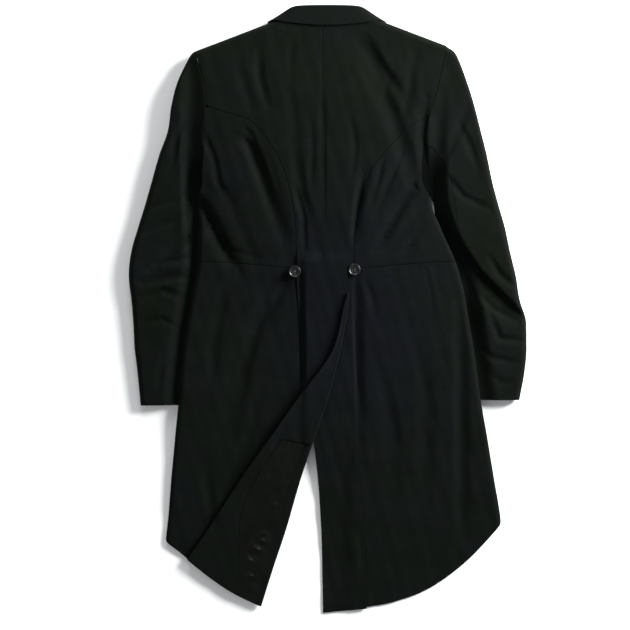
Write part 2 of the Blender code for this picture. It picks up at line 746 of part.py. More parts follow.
def make_flap_cloths(collection, flap):
    """Facing and lining on the turned-back part, made from its upper points."""
    rows, columns = flap.shape[:2]
    first = LINING_FIRST_ROW * 2
    normal = np.array([0.0, 0.0, 1.0])
    split = LINING_COLUMNS
    low = flap + REST_GAP * normal
    across = flap[:, -1:] - flap[:, :1]
    across = across / np.linalg.norm(across, axis=-1, keepdims=True)
    facing = low + 0.0
    facing[first:, split] += SEAM * across[first:, 0]
    faces = [
        face for face in grid_faces(rows, columns)
        if face[0] // columns < first or face[0] % columns >= split
    ]
    wall_object("vent_facing_left", collection, facing + WALL * normal, facing, faces)
    lining = low[first:, : split + 1] + 0.0
    lining[0] += np.array([0.0, -LINING_DROP, 0.0])
    lining[:, 0] += LINING_INSET * across[first:, 0]
    faces = grid_faces(rows - first, split + 1)
    wall_object(
        "tail_lining_left", collection, lining + LINING_WALL * normal, lining, faces, "lining"
    )


def side_seam_points(side, table, distance, count):
    """Points down the side seam, as (turn, level), moved away from the middle."""
    line = along(table, even(count))
    return np.stack(on_front(side, line[:, 0] + distance, line[:, 1]), axis=-1)


def armhole_reach(side, y):
    return spline(ARMHOLE, y, 1 if side < 0 else 2)


def make_sidebody(collection, name, side, back, seam, skirt):
    """Panel under the arm, from the back's curved seam round the side fold."""
    count = len(back) - 1.0
    rows = np.linspace(SIDEBODY_ROWS[0] / count, SIDEBODY_ROWS[1] / count, SIDEBODY_STEPS)
    rows[0] += SIDEBODY_TIP / count
    edge = moved_aside(along(back, rows)[:, 2:4], BACK_SEAM)
    first = np.stack(on_back(side, edge[:, 0], edge[:, 1]), axis=-1)
    upper = [(armhole_reach(side, y), y) for y in SIDEBODY_LEVELS[side]]
    upper += [(distance_round(side, 1, share, y), y) for share, y in ARMHOLE_FOOT]
    below = SIDEBODY_STEPS // 3
    armhole_rows = round_the_body(side, along(upper, even(SIDEBODY_STEPS - below)))
    seam_rows = side_seam_points(side, seam, SEAM, below)
    last = np.concatenate([armhole_rows, seam_rows])
    grid = between(first, last, even(SIDEBODY_COLUMNS))
    grid[-1, :, 1] = waist_level(side, skirt, grid[-1, :, 0])
    top, bottom = body_wall(side, grid[..., 0], grid[..., 1])
    wall_object(name, collection, top, bottom, grid_faces(SIDEBODY_STEPS, SIDEBODY_COLUMNS))


def skirt_curve(side, table, x_column, shares):
    """Waist seam or lower edge of a skirt as (turn, level) points."""
    points = [
        (distance_round(side, row[0], row[x_column], row[x_column + 1]), row[x_column + 1])
        for row in table
    ]
    return round_the_body(side, along(points, shares))


def waist_level(side, skirt, turn):
    """Level of the waist seam, which the skirt gives, at a place round the body."""
    curve = skirt_curve(side, skirt, 1, even(SKIRT_COLUMNS))
    return np.interp(turn, curve[:, 0], curve[:, 1]) + WAIST_SEAM


def pleat_reach(back, y):
    """Place of the tail's outer edge, below the waist."""
    rows = [(row[3], row[2]) for row in back[:SIDEBODY_ROWS[1]:-1]]
    return spline(rows, y)


def make_skirt(collection, name, side, back, table):
    """Skirt from the back pleat, round the side fold, to the cut-away front."""
    upper = np.linspace(0.0, PLEAT_SHARE, SKIRT_STEPS[0])
    fold = np.linspace(SKIRT_BACK_SHARE, SKIRT_FRONT_SHARE, SKIRT_STEPS[1])
    front = np.linspace(SKIRT_FRONT_SHARE, 1.0, SKIRT_STEPS[2])[1:]
    shares = np.concatenate([upper, fold, front])
    columns = len(shares)
    waist = skirt_curve(side, table, 1, shares)
    hem = skirt_curve(side, table, 3, shares)
    rows = even(SKIRT_ROWS)
    grid = between(waist, hem, rows)
    hidden_edge = on_back(side, pleat_reach(back, grid[0, :, 1]) - UNDERLAP, grid[0, :, 1])[0]
    fade = (1.0 - np.clip(shares / upper[-1], 0.0, 1.0)) ** 2
    grid[:, :, 0] += fade[:, None] * (hidden_edge - grid[0, :, 0])[None, :]
    top, bottom = body_wall(side, grid[..., 0], grid[..., 1])
    wall_object(name, collection, top, bottom, grid_faces(columns, len(rows)))


def make_forepart(collection, name, side, seam, skirt):
    """Front, on the underside, from the roll line to the armhole and side seam."""
    upper = np.concatenate([np.array(SHOULDER_STEPS), np.linspace(0.2, 1.0, 6)])
    points = along(FOREPART, upper)
    first_xy = np.concatenate([points[:, :2], along(FRONT_EDGE, even(FRONT_STEPS + 1))[1:]])
    first = np.stack(on_front(side, first_xy[:, 0], first_xy[:, 1]), axis=-1)
    armhole = armhole_reach(side, points[:, 2]) - ARMHOLE_EASE
    upper_last = np.stack(on_front(side, armhole, points[:, 2]), axis=-1)
    last = np.concatenate([upper_last, side_seam_points(side, seam, 0.0, FRONT_STEPS)])
    grid = between(first, last, even(FOREPART_COLUMNS))
    fade = np.zeros(len(grid))
    fade[: len(upper)] = (1.0 - np.clip(upper / SHOULDER_FADE, 0.0, 1.0)) ** 2
    grid = raise_rows(side, grid, fade, FRONT_NECK, True)
    grid[-1, :, 1] = waist_level(side, skirt, grid[-1, :, 0])
    top, bottom = body_wall(side, grid[..., 0], grid[..., 1])
    wall_object(name, collection, top, bottom, grid_faces(len(grid), FOREPART_COLUMNS))


def make_lapel(collection, name, side):
    """Lapel lying flat on the surface, under the forepart."""
    rows = LAPEL_ROWS
    points = along(LAPEL, even(rows))
    shares = even(3)
    first = points[:, None, :2]
    last = points[:, None, 2:]
    grid = first * (1.0 - shares[None, :, None]) + last * shares[None, :, None]
    flat = np.stack([side * grid[..., 0], grid[..., 1], 0.0 * grid[..., 0]], axis=-1)
    thick = flat + np.array([0.0, 0.0, WALL])
    wall_object(name, collection, thick, flat, grid_faces(rows, len(shares)))


def sleeve_top(side, x, y, height):
    """Height of a sleeve: full beside the body, and flat where it goes beneath."""
    edge = side_reach(side, np.minimum(y, ARMPIT)) + SIDE_ROUND
    beside = ramp(side * x - edge, 2.0, 30.0)
    folded = fold_depth(SLEEVE_FOLDS, x, y)
    return TUCK + np.maximum((height - TUCK - folded), 2.0) * beside


def sleeve_ring_points(side, table, ring_share, across, upper):
    """Points over or under a sleeve, at shares of its length and of its width."""
    row = along(table, ring_share)
    outer_x, outer_y, inner_x, inner_y, height, kept = [row[:, None, k] for k in range(6)]
    length = np.hypot(outer_x - inner_x, outer_y - inner_y)
    head = table[0]
    head_x = head[0] + (head[2] - head[0]) * across
    head_y = head[1] + (head[3] - head[1]) * across
    hollow = armhole_reach(side, head_y) + ARMHOLE_GAP - head_x
    x = outer_x + (inner_x - outer_x) * across + kept * hollow
    y = outer_y + (inner_y - outer_y) * across
    ring = np.asarray(ring_share)[:, None] * (len(table) - 1)
    near_armhole = (1.0 - ramp(ring, 0.0, ARMHOLE_RINGS)) * (1.0 - ramp(across, 0.62, 0.92))
    x_world = side * x
    body_top = back_height(side, x_world, y)
    body_low = front_height(side, x_world, y)
    high = sleeve_top(side, x_world, y, height) * (1.0 - near_armhole) + body_top * near_armhole
    low = body_low * near_armhole
    from_outer = across * length
    from_inner = (1.0 - across) * length
    outer_turn = np.clip(1.0 - from_outer / SLEEVE_ROUND, 0.0, 1.0)
    inner_turn = np.clip(1.0 - from_inner / INNER_ROUND, 0.0, 1.0)
    fullness = np.sqrt(np.clip(1.0 - outer_turn ** 2 - inner_turn ** 2, 0.0, 1.0))
    middle = 0.5 * (high + low)
    z = middle + (high - low) * 0.5 * fullness * (1.0 if upper else -1.0)
    return np.stack([x_world, y + 0.0 * x, z], axis=-1)


def edge_shares(length, reach, count):
    """Shares that crowd towards a rounded edge."""
    return reach / length * (1.0 - np.cos(np.linspace(0.0, math.pi / 2.0, count)))


def make_sleeve(collection, word, side, table):
    """Tube of rings from armhole to cuff, in a top sleeve and an under sleeve."""
    rings = even(SLEEVE_RINGS)
    outer_part = edge_shares(TYPICAL_WIDTH, SLEEVE_ROUND, 4)
    inner_part = 1.0 - edge_shares(TYPICAL_WIDTH, INNER_ROUND, 3)[::-1]
    cut = SEAM * 0.5 / TYPICAL_WIDTH
    flat_outer = np.linspace(outer_part[-1], SLEEVE_SEAM - cut, 6)[1:]
    flat_inner = np.linspace(SLEEVE_SEAM + cut, inner_part[0], 4)[:-1]
    across = np.concatenate([outer_part, flat_outer, flat_inner, inner_part])
    over = sleeve_ring_points(side, table, rings, across[None, :], True)
    under = sleeve_ring_points(side, table, rings, across[None, :], False)
    loop = np.concatenate([over, under[:, -2:0:-1]], axis=1)
    count = loop.shape[1]
    ahead = np.roll(loop, -1, axis=1) - np.roll(loop, 1, axis=1)
    down = np.gradient(loop, axis=0)
    normal = side * np.cross(ahead, down)
    normal /= np.linalg.norm(normal, axis=-1, keepdims=True)
    first_under = len(outer_part) + len(flat_outer)
    last_under = count - first_under
    for one, other in ((first_under - 1, first_under), (last_under, last_under + 1)):
        shared = normal[:, one] + normal[:, other]
        shared /= np.linalg.norm(shared, axis=-1, keepdims=True)
        normal[:, one] = shared
        normal[:, other] = shared
    inside = loop - WALL * normal
    under_columns = list(range(first_under, last_under + 1))
    top_columns = list(range(last_under + 1, count)) + list(range(0, first_under))
    for name, columns in (("under_sleeve_", under_columns), ("top_sleeve_", top_columns)):
        faces = grid_faces(len(rings), len(columns))
        wall_object(name + word, collection, loop[:, columns], inside[:, columns], faces)


def collar_rows():
    """Table rows from the left end, round the back of the neck, to the right end."""
    right = [np.array(row) for row in COLLAR]
    left = [row * np.array([-1.0, 1.0, 1.0]) for row in right[:0:-1]]
    shift = np.array([COLLAR_MIDDLE, 0.0, 0.0])
    return np.array([row + shift for row in left + right])


def make_collar(collection):
    """Folded band: fall outside, stand inside, joined round the roll line."""
    rows = collar_rows()
    shares = even(COLLAR_SECTIONS)
    roll = along(rows[:, 0], shares)
    leaf = along(rows[:, 1], shares)
    seam = along(rows[:, 2], shares)
    tangent = np.gradient(roll, axis=0)
    down = leaf - roll
    normal = np.cross(down, tangent)
    normal /= np.linalg.norm(normal, axis=-1, keepdims=True)
    away = np.cross(tangent, normal)
    away /= np.linalg.norm(away, axis=-1, keepdims=True)
    away *= -np.sign(np.sum(away * down, axis=-1, keepdims=True))
    bend = COLLAR_BEND
    middle = [leaf + (roll + bend * normal - leaf) * t for t in LEAF_SHARES]
    for angle in np.linspace(0.5, -0.5, ROLL_STEPS) * math.pi:
        middle.append(roll + bend * (math.sin(angle) * normal + math.cos(angle) * away))
    middle += [roll - bend * normal + (seam - roll + bend * normal) * t for t in STAND_SHARES]
    sheet = np.stack(middle, axis=1)
    across = np.gradient(sheet, axis=1)
    onward = np.gradient(sheet, axis=0)
    face = np.cross(across, onward)
    face /= np.linalg.norm(face, axis=-1, keepdims=True)
    outer = sheet - 0.5 * WALL * face
    inner = sheet + 0.5 * WALL * face
    wall_object("collar", collection, outer, inner, grid_faces(len(sheet), sheet.shape[1]))


def turned_disc(name, radius, height):
    """Dished button as a profile turned about its own axis."""
    mesh = bpy.data.meshes.new(name)
    shape = bmesh.new()
    rings = []
    for step in range(BUTTON_STEPS):
        angle = 2.0 * math.pi * step / BUTTON_STEPS
        across = math.cos(angle) * radius * MM
        up = math.sin(angle) * radius * MM
        ring = [shape.verts.new((r * across, r * up, z * height * MM)) for r, z in BUTTON_PROFILE]
        rings.append(ring)
    for a, b in zip(rings, rings[1:] + rings[:1]):
        for k in range(len(a) - 1):
            shape.faces.new((a[k], b[k], b[k + 1], a[k + 1]))
    shape.faces.new([ring[0] for ring in reversed(rings)])
    shape.faces.new([ring[-1] for ring in rings])
    bmesh.ops.recalc_face_normals(shape, faces=shape.faces[:])
    shape.to_mesh(mesh)
    shape.free()
    return mesh


def make_button(collection, cutters, name, place, base, height):
    """Four-hole button, with its holes cut through by a Boolean."""
    mesh = turned_disc(name, BUTTON_RADIUS, height)
    item = add_object(name, mesh, collection, "button")
    item.location = (place[0] * MM, place[1] * MM, base * MM)
    for number, (right, up) in enumerate(((1, 1), (-1, 1), (-1, -1), (1, -1))):
        bpy.ops.mesh.primitive_cylinder_add(
            vertices=HOLE_STEPS,
            radius=HOLE_RADIUS * MM,
            depth=4.0 * height * MM,
            location=(
                (place[0] + right * HOLE_OFFSET) * MM,
                (place[1] + up * HOLE_OFFSET) * MM,
                base * MM,
            ),
        )
        cutter = bpy.context.active_object
        cutter.name = name + "_hole_" + str(number + 1)
        cutter.hide_render = True
        cutter.display_type = "WIRE"
        for owner in list(cutter.users_collection):
            owner.objects.unlink(cutter)
        cutters.objects.link(cutter)
        cut = item.modifiers.new("hole_" + str(number + 1), "BOOLEAN")
        cut.operation = "DIFFERENCE"
        cut.solver = "EXACT"
        cut.object = cutter


def button_seat(place):
    """Lowest level at which a waist button clears the cloth under it."""
    angles = np.linspace(0.0, 2.0 * math.pi, 25)
    highest = 0.0
    for radius in (0.0, 0.5 * BUTTON_RADIUS, BUTTON_RADIUS):
        x = place[0] + radius * np.cos(angles)
        y = place[1] + radius * np.sin(angles)
        side = -1 if place[0] < 0 else 1
        lift = left_tail_lift if side < 0 else right_tail_lift
        highest = max(highest, float(np.max(back_height(side, x, y) + lift(x, y))))
    return highest + REST_GAP


def main():
    clear_scene()
    coat = make_collection(NAME)
    cutters = make_collection(NAME + "_cutters")
    make_back_right(coat)
    flap = make_back_left(coat)
    make_flap_cloths(coat, flap)
    for word, side, back, seam, skirt, sleeve in (
        ("left", -1, BACK_LEFT, SIDE_SEAM_LEFT, SKIRT_LEFT, SLEEVE_LEFT),
        ("right", 1, BACK_RIGHT, SIDE_SEAM_RIGHT, SKIRT_RIGHT, SLEEVE_RIGHT),
    ):
        make_sidebody(coat, "sidebody_" + word, side, back, seam, skirt)
        make_skirt(coat, "skirt_" + word, side, back, skirt)
        make_forepart(coat, "forepart_" + word, side, seam, skirt)
        make_lapel(coat, "lapel_" + word, side)
        make_sleeve(coat, word, side, sleeve)
    make_collar(coat)
    for name, place in BACK_BUTTONS.items():
        make_button(coat, cutters, name, place, button_seat(place), BUTTON_HEIGHT)
    make_button(coat, cutters, "front_button", FRONT_BUTTON, FRONT_BUTTON_BASE, FRONT_BUTTON_HEIGHT)


main()
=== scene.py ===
"""Dresses the morning coat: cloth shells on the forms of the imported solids,
with the finer creases, the buttons with their thread, and the materials.

The coat lies front down, its collar towards +Y and the wearer's left at -X. The
tables are in millimetres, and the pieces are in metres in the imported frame.
"""
import math

import bmesh
import bpy
import numpy as np
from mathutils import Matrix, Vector


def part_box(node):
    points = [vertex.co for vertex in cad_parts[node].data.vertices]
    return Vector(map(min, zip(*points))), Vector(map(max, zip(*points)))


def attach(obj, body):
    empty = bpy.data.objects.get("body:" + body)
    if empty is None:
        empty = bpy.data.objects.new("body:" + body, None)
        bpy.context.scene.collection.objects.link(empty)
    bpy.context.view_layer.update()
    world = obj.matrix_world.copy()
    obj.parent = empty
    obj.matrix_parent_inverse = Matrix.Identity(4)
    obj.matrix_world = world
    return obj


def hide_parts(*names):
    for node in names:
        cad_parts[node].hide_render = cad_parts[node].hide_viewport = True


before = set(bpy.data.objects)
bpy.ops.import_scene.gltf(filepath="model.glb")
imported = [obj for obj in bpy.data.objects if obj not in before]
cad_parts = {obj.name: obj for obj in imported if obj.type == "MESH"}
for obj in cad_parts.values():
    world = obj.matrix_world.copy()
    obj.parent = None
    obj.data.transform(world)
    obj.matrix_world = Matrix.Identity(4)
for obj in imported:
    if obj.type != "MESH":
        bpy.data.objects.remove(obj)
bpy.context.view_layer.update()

MM = 0.001
UPWARD = np.array([0.0, 0.0, 1.0])

# Cloth and seams
WALL = 2.0
LINING_WALL = 1.0
SEAM = 0.5
WAIST_SEAM = 0.8
BACK_SEAM = 0.8
LAP = 2.8
REST_GAP = 0.35
SIDE_ROUND = 9.0
SHOULDER_ROUND = 12.0
SLEEVE_ROUND = 11.0
INNER_ROUND = 3.6
TUCK = 7.6
CLEAR = 1.2

# The shoulder line, as its height over the centre and its fall to the side
SHOULDER_TOP = 537.4
SHOULDER_SLOPE = 0.381

# Levels along the coat: the sleeve's ends, and where the back becomes the tail
ARMPIT = 188.0
CUFF = -167.0
TAIL_LEVELS = (80.0, 104.0)

# Where the front rises over the lapels, over the sleeves beneath it, and over the
# other front where they lap, as levels or distances from start to end
LAPEL_RISE = (20.0, 80.0)
SLEEVE_RISE = (-60.0, -22.0)
CUFF_RISE = (-80.0, -34.0)
ARMPIT_FALL = (8.0, 70.0)
LAP_SIDE = (26.0, 62.0)
LAP_FOOT = (20.0, 45.0)
LAP_TOP = (190.0, 225.0)

# Where the tails rise over each other, over the pleat and off the surface, and
# where a sleeve rises beside the body
LEFT_OVER_RIGHT = (-50.0, -36.0)
OVER_PLEAT = (20.0, 48.0)
OFF_SURFACE = (-330.0, -215.0)
BESIDE_BODY = (2.0, 30.0)
SLEEVE_LEAST = 2.0

# Limits of the smooth curves' slopes, and of the fading of a fold's ends
STEEPEST = 3.0
FOLD_END = 0.04

# Body: level, left side, right side, height at the centre and by the side
BODY = (
    (-540, 286, 306, 2.3, 2.3),
    (-470, 286, 306, 2.4, 3.2),
    (-403, 283.5, 305, 3.6, 6.4),
    (-361, 279, 301, 5, 9),
    (-298, 274, 290.5, 7.5, 12),
    (-235, 268, 280, 10.5, 14.5),
    (-158, 260, 266, 14.5, 18),
    (-71, 252, 254, 18.5, 20),
    (0, 241, 242, 22, 21),
    (43, 233, 234, 25, 22),
    (83, 226, 222, 28, 23),
    (140, 225, 197, 33, 25),
    (188, 229, 180, 36, 26),
    (230, 238, 182, 37.5, 29),
    (280, 242, 190, 38, 31),
    (330, 240, 200, 37.5, 32),
    (384, 238, 215, 36, 31),
    (450, 258, 236, 30, 28),
    (535, 268, 250, 27, 26),
)

# Inner edge of each sleeve where it lies beneath the body: level, left, right
SLEEVE_INNER = (
    (-167, 196, 200),
    (-80, 184, 190),
    (0, 176, 184),
    (83, 186, 182),
    (140, 210, 178),
    (188, 228, 178),
)

# Back with its tail: centre edge and outer edge, from neck to hem
BACK_STEPS = 35
NECK_SHARE = 0.22
BACK_LEFT = (
    (10.5, 501.6, 231, 448.5),
    (10.5, 470, 221, 418),
    (10.5, 432, 213.5, 384),
    (10.5, 388, 210.5, 355),
    (10.5, 338, 140, 330),
    (10.5, 285, 101, 288),
    (10.5, 232, 74, 235),
    (10.5, 163, 58, 165),
    (10.5, 108, 55, 108),
    (10.5, 84, 54, 80),
    (-31.5, 74, 55, 66),
    (-34, 30, 52, 20),
    (-22, -57, 48, -60),
    (3.5, -158, 45, -155),
    (29.8, -235, 67, -232),
    (50.8, -298, 84, -292),
    (75, -382, 107, -372),
    (96, -445, 124, -435),
    (119, -518, 140, -508),
)
BACK_RIGHT = (
    (-10.4, 501.6, 205, 450),
    (-10.4, 470, 197, 418),
    (-10.4, 432, 189, 384),
    (-10.4, 380, 176, 340),
    (-10.4, 338, 142, 318),
    (-10.4, 285, 106, 282),
    (-10.4, 232, 70, 232),
    (-10.4, 163, 50, 163),
    (-10.4, 108, 44, 108),
    (-10.4, 84, 44, 80),
    (-34, 76, 43.5, 66),
    (-34, 25, 41.5, 20),
    (-33, -60, 42.5, -60),
    (-30, -155, 46, -155),
    (-26, -221, 49.5, -221),
    (-17.5, -298, 54, -298),
    (-12, -382, 60, -382),
    (-10, -455, 64.5, -455),
    (-8.8, -530.5, 67, -523),
)

# Turned-back part of the left tail: its fold is the tail's centre edge from this
# row on, and these are the points that its free edge reaches, as a distance to
# the left and a level, and the share of the width that the lining takes
FLAP_FIRST_ROW = 11
FLAP = (
    (-30, 16, 0),
    (-8, -71, 0),
    (49, -150, 0),
    (100, -222, 0.72),
    (140, -278, 0.76),
    (179, -337, 0.72),
    (212, -388, 0.52),
    (246, -436, 0.30),
)
FLAP_HEM_BOW = 8.0
FLAP_LIFT = 5.0
TURN_ANGLE = 60.0

# The lining: its first row, least and greatest share of the flap, drop below the
# facing, and share of it left to the wool by the fold. Then the rows over which
# the flap's hem is bowed and its top bulges
LINING_FIRST_ROW = 3
LINING_SHARES = (0.3, 0.76)
LINING_DROP = 0.9
LINING_INSET = 0.2
HEM_STATIONS = 2.5
BULGE_STATIONS = 4.5

# Rows of each back between which its outer edge is the sidebody's seam
SIDEBODY_ROWS = (3, 9)
SIDEBODY_STEPS = 13
SIDEBODY_TIP = 0.14

# Armhole on the back: level, left and right
ARMHOLE = (
    (187, 226, 175),
    (204, 220, 169),
    (238, 218.5, 162),
    (279, 215.5, 165),
    (316, 213.5, 171),
    (350, 211, 178.5),
    (384, 213.5, 189),
    (418, 221, 197),
    (450, 231.5, 204),
    (460, 233, 206),
)
SIDEBODY_LEVELS = {-1: (350.0, 316.0, 279.0, 240.0, 206.0), 1: (335.0, 304.0, 276.0, 240.0, 206.0)}

# Armhole round the side fold: share of the turn, and level
ARMHOLE_FOOT = ((0.3, 195.0), (0.8, 188.0))

# Side seam on the front: its top and its foot
SIDE_SEAM_LEFT = ((198.0, 186.0), (190.0, 84.0))
SIDE_SEAM_RIGHT = ((160.0, 186.0), (188.0, 84.0))

# How far a skirt goes under the tail, and the shares of its width at which its
# pleat ends and its side fold begins and ends
UNDERLAP = 12.0
PLEAT_SHARE = 0.36
SKIRT_BACK_SHARE = 0.4
SKIRT_FRONT_SHARE = 0.6

# Skirt: point on the waist seam and point on the edge below it, from the back
# pleat round the side fold to the front. Layer 0 is the back, 1 the side fold
# and 2 the front; on the fold the distance is a share of the turn.
SKIRT_COLUMNS = 60
SKIRT_LEFT = (
    (0, 41, 70, 128, -511),
    (0, 90, 74, 180, -486.5),
    (0, 135, 78, 222, -456.5),
    (0, 178, 81, 256, -427),
    (1, 0, 82.5, 0, -412),
    (1, 0.5, 82.5, 0.5, -400),
    (1, 1, 82.5, 1, -384),
    (2, 160, 82, 208, -236),
    (2, 100, 82, 132, -92),
    (2, 50, 82, 66, 10),
    (2, -10, 82, -8, 62),
)
SKIRT_RIGHT = (
    (0, 33, 70, 55, -522),
    (0, 80, 73, 112, -512),
    (0, 125, 77, 176, -488),
    (0, 172, 81, 240, -442),
    (1, 0, 82.5, 0, -384),
    (1, 0.5, 82.5, 0.5, -366),
    (1, 1, 82.5, 1, -348),
    (2, 160, 82, 208, -232),
    (2, 100, 82, 132, -90),
    (2, 50, 82, 66, 10),
    (2, -10, 82, -8, 62),
)

# Forepart, on the front: front edge with the lapel's roll, and levels down the armhole
FOREPART = (
    (106, 485, 448),
    (80, 452, 400),
    (63, 396, 340),
    (44, 316, 270),
    (30, 256, 204),
)
FRONT_STEPS = 5
SHOULDER_STEPS = (0.0, 0.015, 0.04, 0.08)
SHOULDER_END = 0.2
SHOULDER_FADE = 0.8

# Level of the neck edge at the back and at the front, and its rise to the side
BACK_NECK = 501.6
FRONT_NECK = 481.5
NECK_RISE = 0.026

# Front edge below the roll line, which laps over the middle
FRONT_EDGE = ((30.0, 256.0), (24.0, 235.0), (-6.0, 165.0), (-12.0, 140.0), (-12.0, 84.0))

# Lapel, folded under the forepart: roll line and free edge
LAPEL = (
    (70, 440, 134, 434),
    (60, 400, 118, 392),
    (41, 310, 90, 300),
    (24, 220, 56, 212),
    (10, 152, 20, 148),
)

# Sleeves: outer edge and inner edge of each ring, height, and how much of the
# armhole's hollow the ring keeps, from the armhole to the cuff
SLEEVE_LEFT = (
    (231.5, 449.5, 226.5, 196, 30, 1),
    (241, 439, 228, 194, 30, 0.75),
    (262, 395, 229, 191, 30, 0.4),
    (273, 353, 229, 188, 29, 0.15),
    (279, 311, 227, 182, 28, 0),
    (294, 269, 222, 168, 27, 0),
    (306, 227, 214, 148, 26, 0),
    (318, 185, 204, 124, 25, 0),
    (331, 143, 194, 98, 24, 0),
    (343, 101, 185, 70, 23, 0),
    (347.5, 59, 179, 38, 22, 0),
    (343, 17, 177, 4, 20, 0),
    (339.5, -25, 179, -34, 19, 0),
    (337.5, -67, 183, -74, 18, 0),
    (332.5, -109, 189, -114, 17, 0),
    (327, -167.5, 197, -166, 16, 0),
)
SLEEVE_RIGHT = (
    (208.5, 458, 177, 196, 30, 1),
    (225, 443, 182, 194, 30, 0.75),
    (243, 395, 183, 191, 30, 0.4),
    (255.5, 353, 184, 188, 29, 0.15),
    (266, 311, 185, 182, 28, 0),
    (276.5, 269, 186, 170, 28, 0),
    (285, 227, 187, 152, 28, 0),
    (296, 185, 187, 130, 28, 0),
    (308, 143, 186, 104, 28, 0),
    (317, 101, 185, 74, 27, 0),
    (327, 59, 184, 40, 26, 0),
    (334, 17, 185, 4, 25, 0),
    (346, -25, 187, -34, 22, 0),
    (346.5, -67, 190, -74, 19, 0),
    (343, -109, 195, -112, 17, 0),
    (334, -158, 201, -158, 16, 0),
)
ARMHOLE_RINGS = 4.0
ARMHOLE_GAP = 0.7
ARMHOLE_TAPER = (0.62, 0.92)
SLEEVE_SEAM = 0.66
TYPICAL_WIDTH = 150.0

# Collar, from the centre back to its end: roll line, free edge and neck seam
COLLAR = (
    ((0, 525.6, 28), (0, 493, 30.4), (0, 504.2, 26)),
    ((30, 525.4, 27.9), (34, 494.5, 30.2), (30, 505, 25.8)),
    ((55, 523.8, 27), (72, 498.5, 29.4), (57, 506.5, 24.2)),
    ((69, 518, 22.6), (91, 502, 25.2), (74, 507, 19.6)),
    ((74.5, 514, 14.5), (100.5, 501.5, 14.5), (81, 505, 14)),
    ((74, 507, 5.6), (104.5, 496, 3.2), (77.5, 499, 8.4)),
    ((71, 490, 3.1), (106, 476, 1.05), (75, 482, 5.2)),
    ((64, 468, 3), (92, 448, 1.2), (67, 462, 5)),
)
COLLAR_MIDDLE = -2.0
COLLAR_BEND = 1.65
FALL_END = 0.94

# Buttons, which take their size and place from the frame: their thread holes, and
# half of their section from below to above, as shares of radius and of height
HOLE_RADIUS = 1.1
HOLE_OFFSET = 1.61
DISH_SHARE = 0.60
BUTTON_SECTION = (
    (0.80, 0.0), (0.93, 0.06), (0.985, 0.22), (1.0, 0.42), (0.99, 0.68), (0.965, 0.86),
    (0.93, 0.97), (0.88, 1.0), (0.83, 0.965), (0.785, 0.86), (0.74, 0.74), (0.68, 0.655),
    (0.60, 0.62), (0.45, DISH_SHARE),
)
BUTTON_SHARP_ANGLE = 50.0
THREAD_RADIUS = 0.28
THREAD_SPACING = 1.7
THREAD_END = 0.35
THREAD_BEND = 0.35

# Pairs of holes that the thread joins, and its rise over the dish in thread radii
THREAD_PAIRS = ((0, 2, 1.2), (1, 3, 2.8))

# Folds of the back: start, middle, end, depth, and half width to each side
BACK_FOLDS = (
    ((-149, 297), (-136, 284), (-66, 90), 5, 9, 16),
    ((-66, 372), (-46, 197), (-35, 165), 2.6, 14, 16),
    ((-156, 424), (-145, 385), (-133, 351), 1.6, 12, 12),
    ((-152, 144), (-136, 108), (-119, 73), 2, 10, 10),
    ((-224, 190), (-190, 128), (-154, 71), 6, 7, 26),
    ((51, 461), (112, 340), (150, 226), 5, 18, 26),
    ((150, 445), (142, 385), (131, 328), 2.6, 12, 12),
    ((70, 244), (57, 190), (47, 139), 2.6, 9, 14),
    ((168, 174), (130, 125), (84, 93), 4.5, 12, 20),
    ((-7, 420), (-6, 300), (-5, 165), 1.6, 3, 12),
    ((-66, 60), (-150, -80), (-172, -240), 3, 24, 34),
    ((228, 18), (232, -180), (234, -400), 4, 18, 16),
)

# Folds of the sleeves, in the same columns
SLEEVE_FOLDS = (
    ((-215, 139), (-262, 108), (-311, 69), 6, 9, 18),
    ((-215, 60), (-262, 56), (-320, 43), 5, 8, 16),
    ((-250, 20), (-290, 33), (-322, 16), 3.5, 9, 12),
    ((176, 184), (262, 62), (350, -26), 10, 8, 46),
    ((280, -3), (299, -50), (346, -55), 3, 8, 10),
    ((241, 349), (222, 302), (196, 254), 3.5, 12, 14),
)

# Plain finish of each material beneath its nodes: colour, roughness, metallic
FINISHES = {
    "wool": ((0.012, 0.013, 0.015), 0.92, 0.0),
    "lining": ((0.010, 0.010, 0.011), 0.42, 0.0),
    "button": ((0.016, 0.016, 0.017), 0.30, 0.0),
}

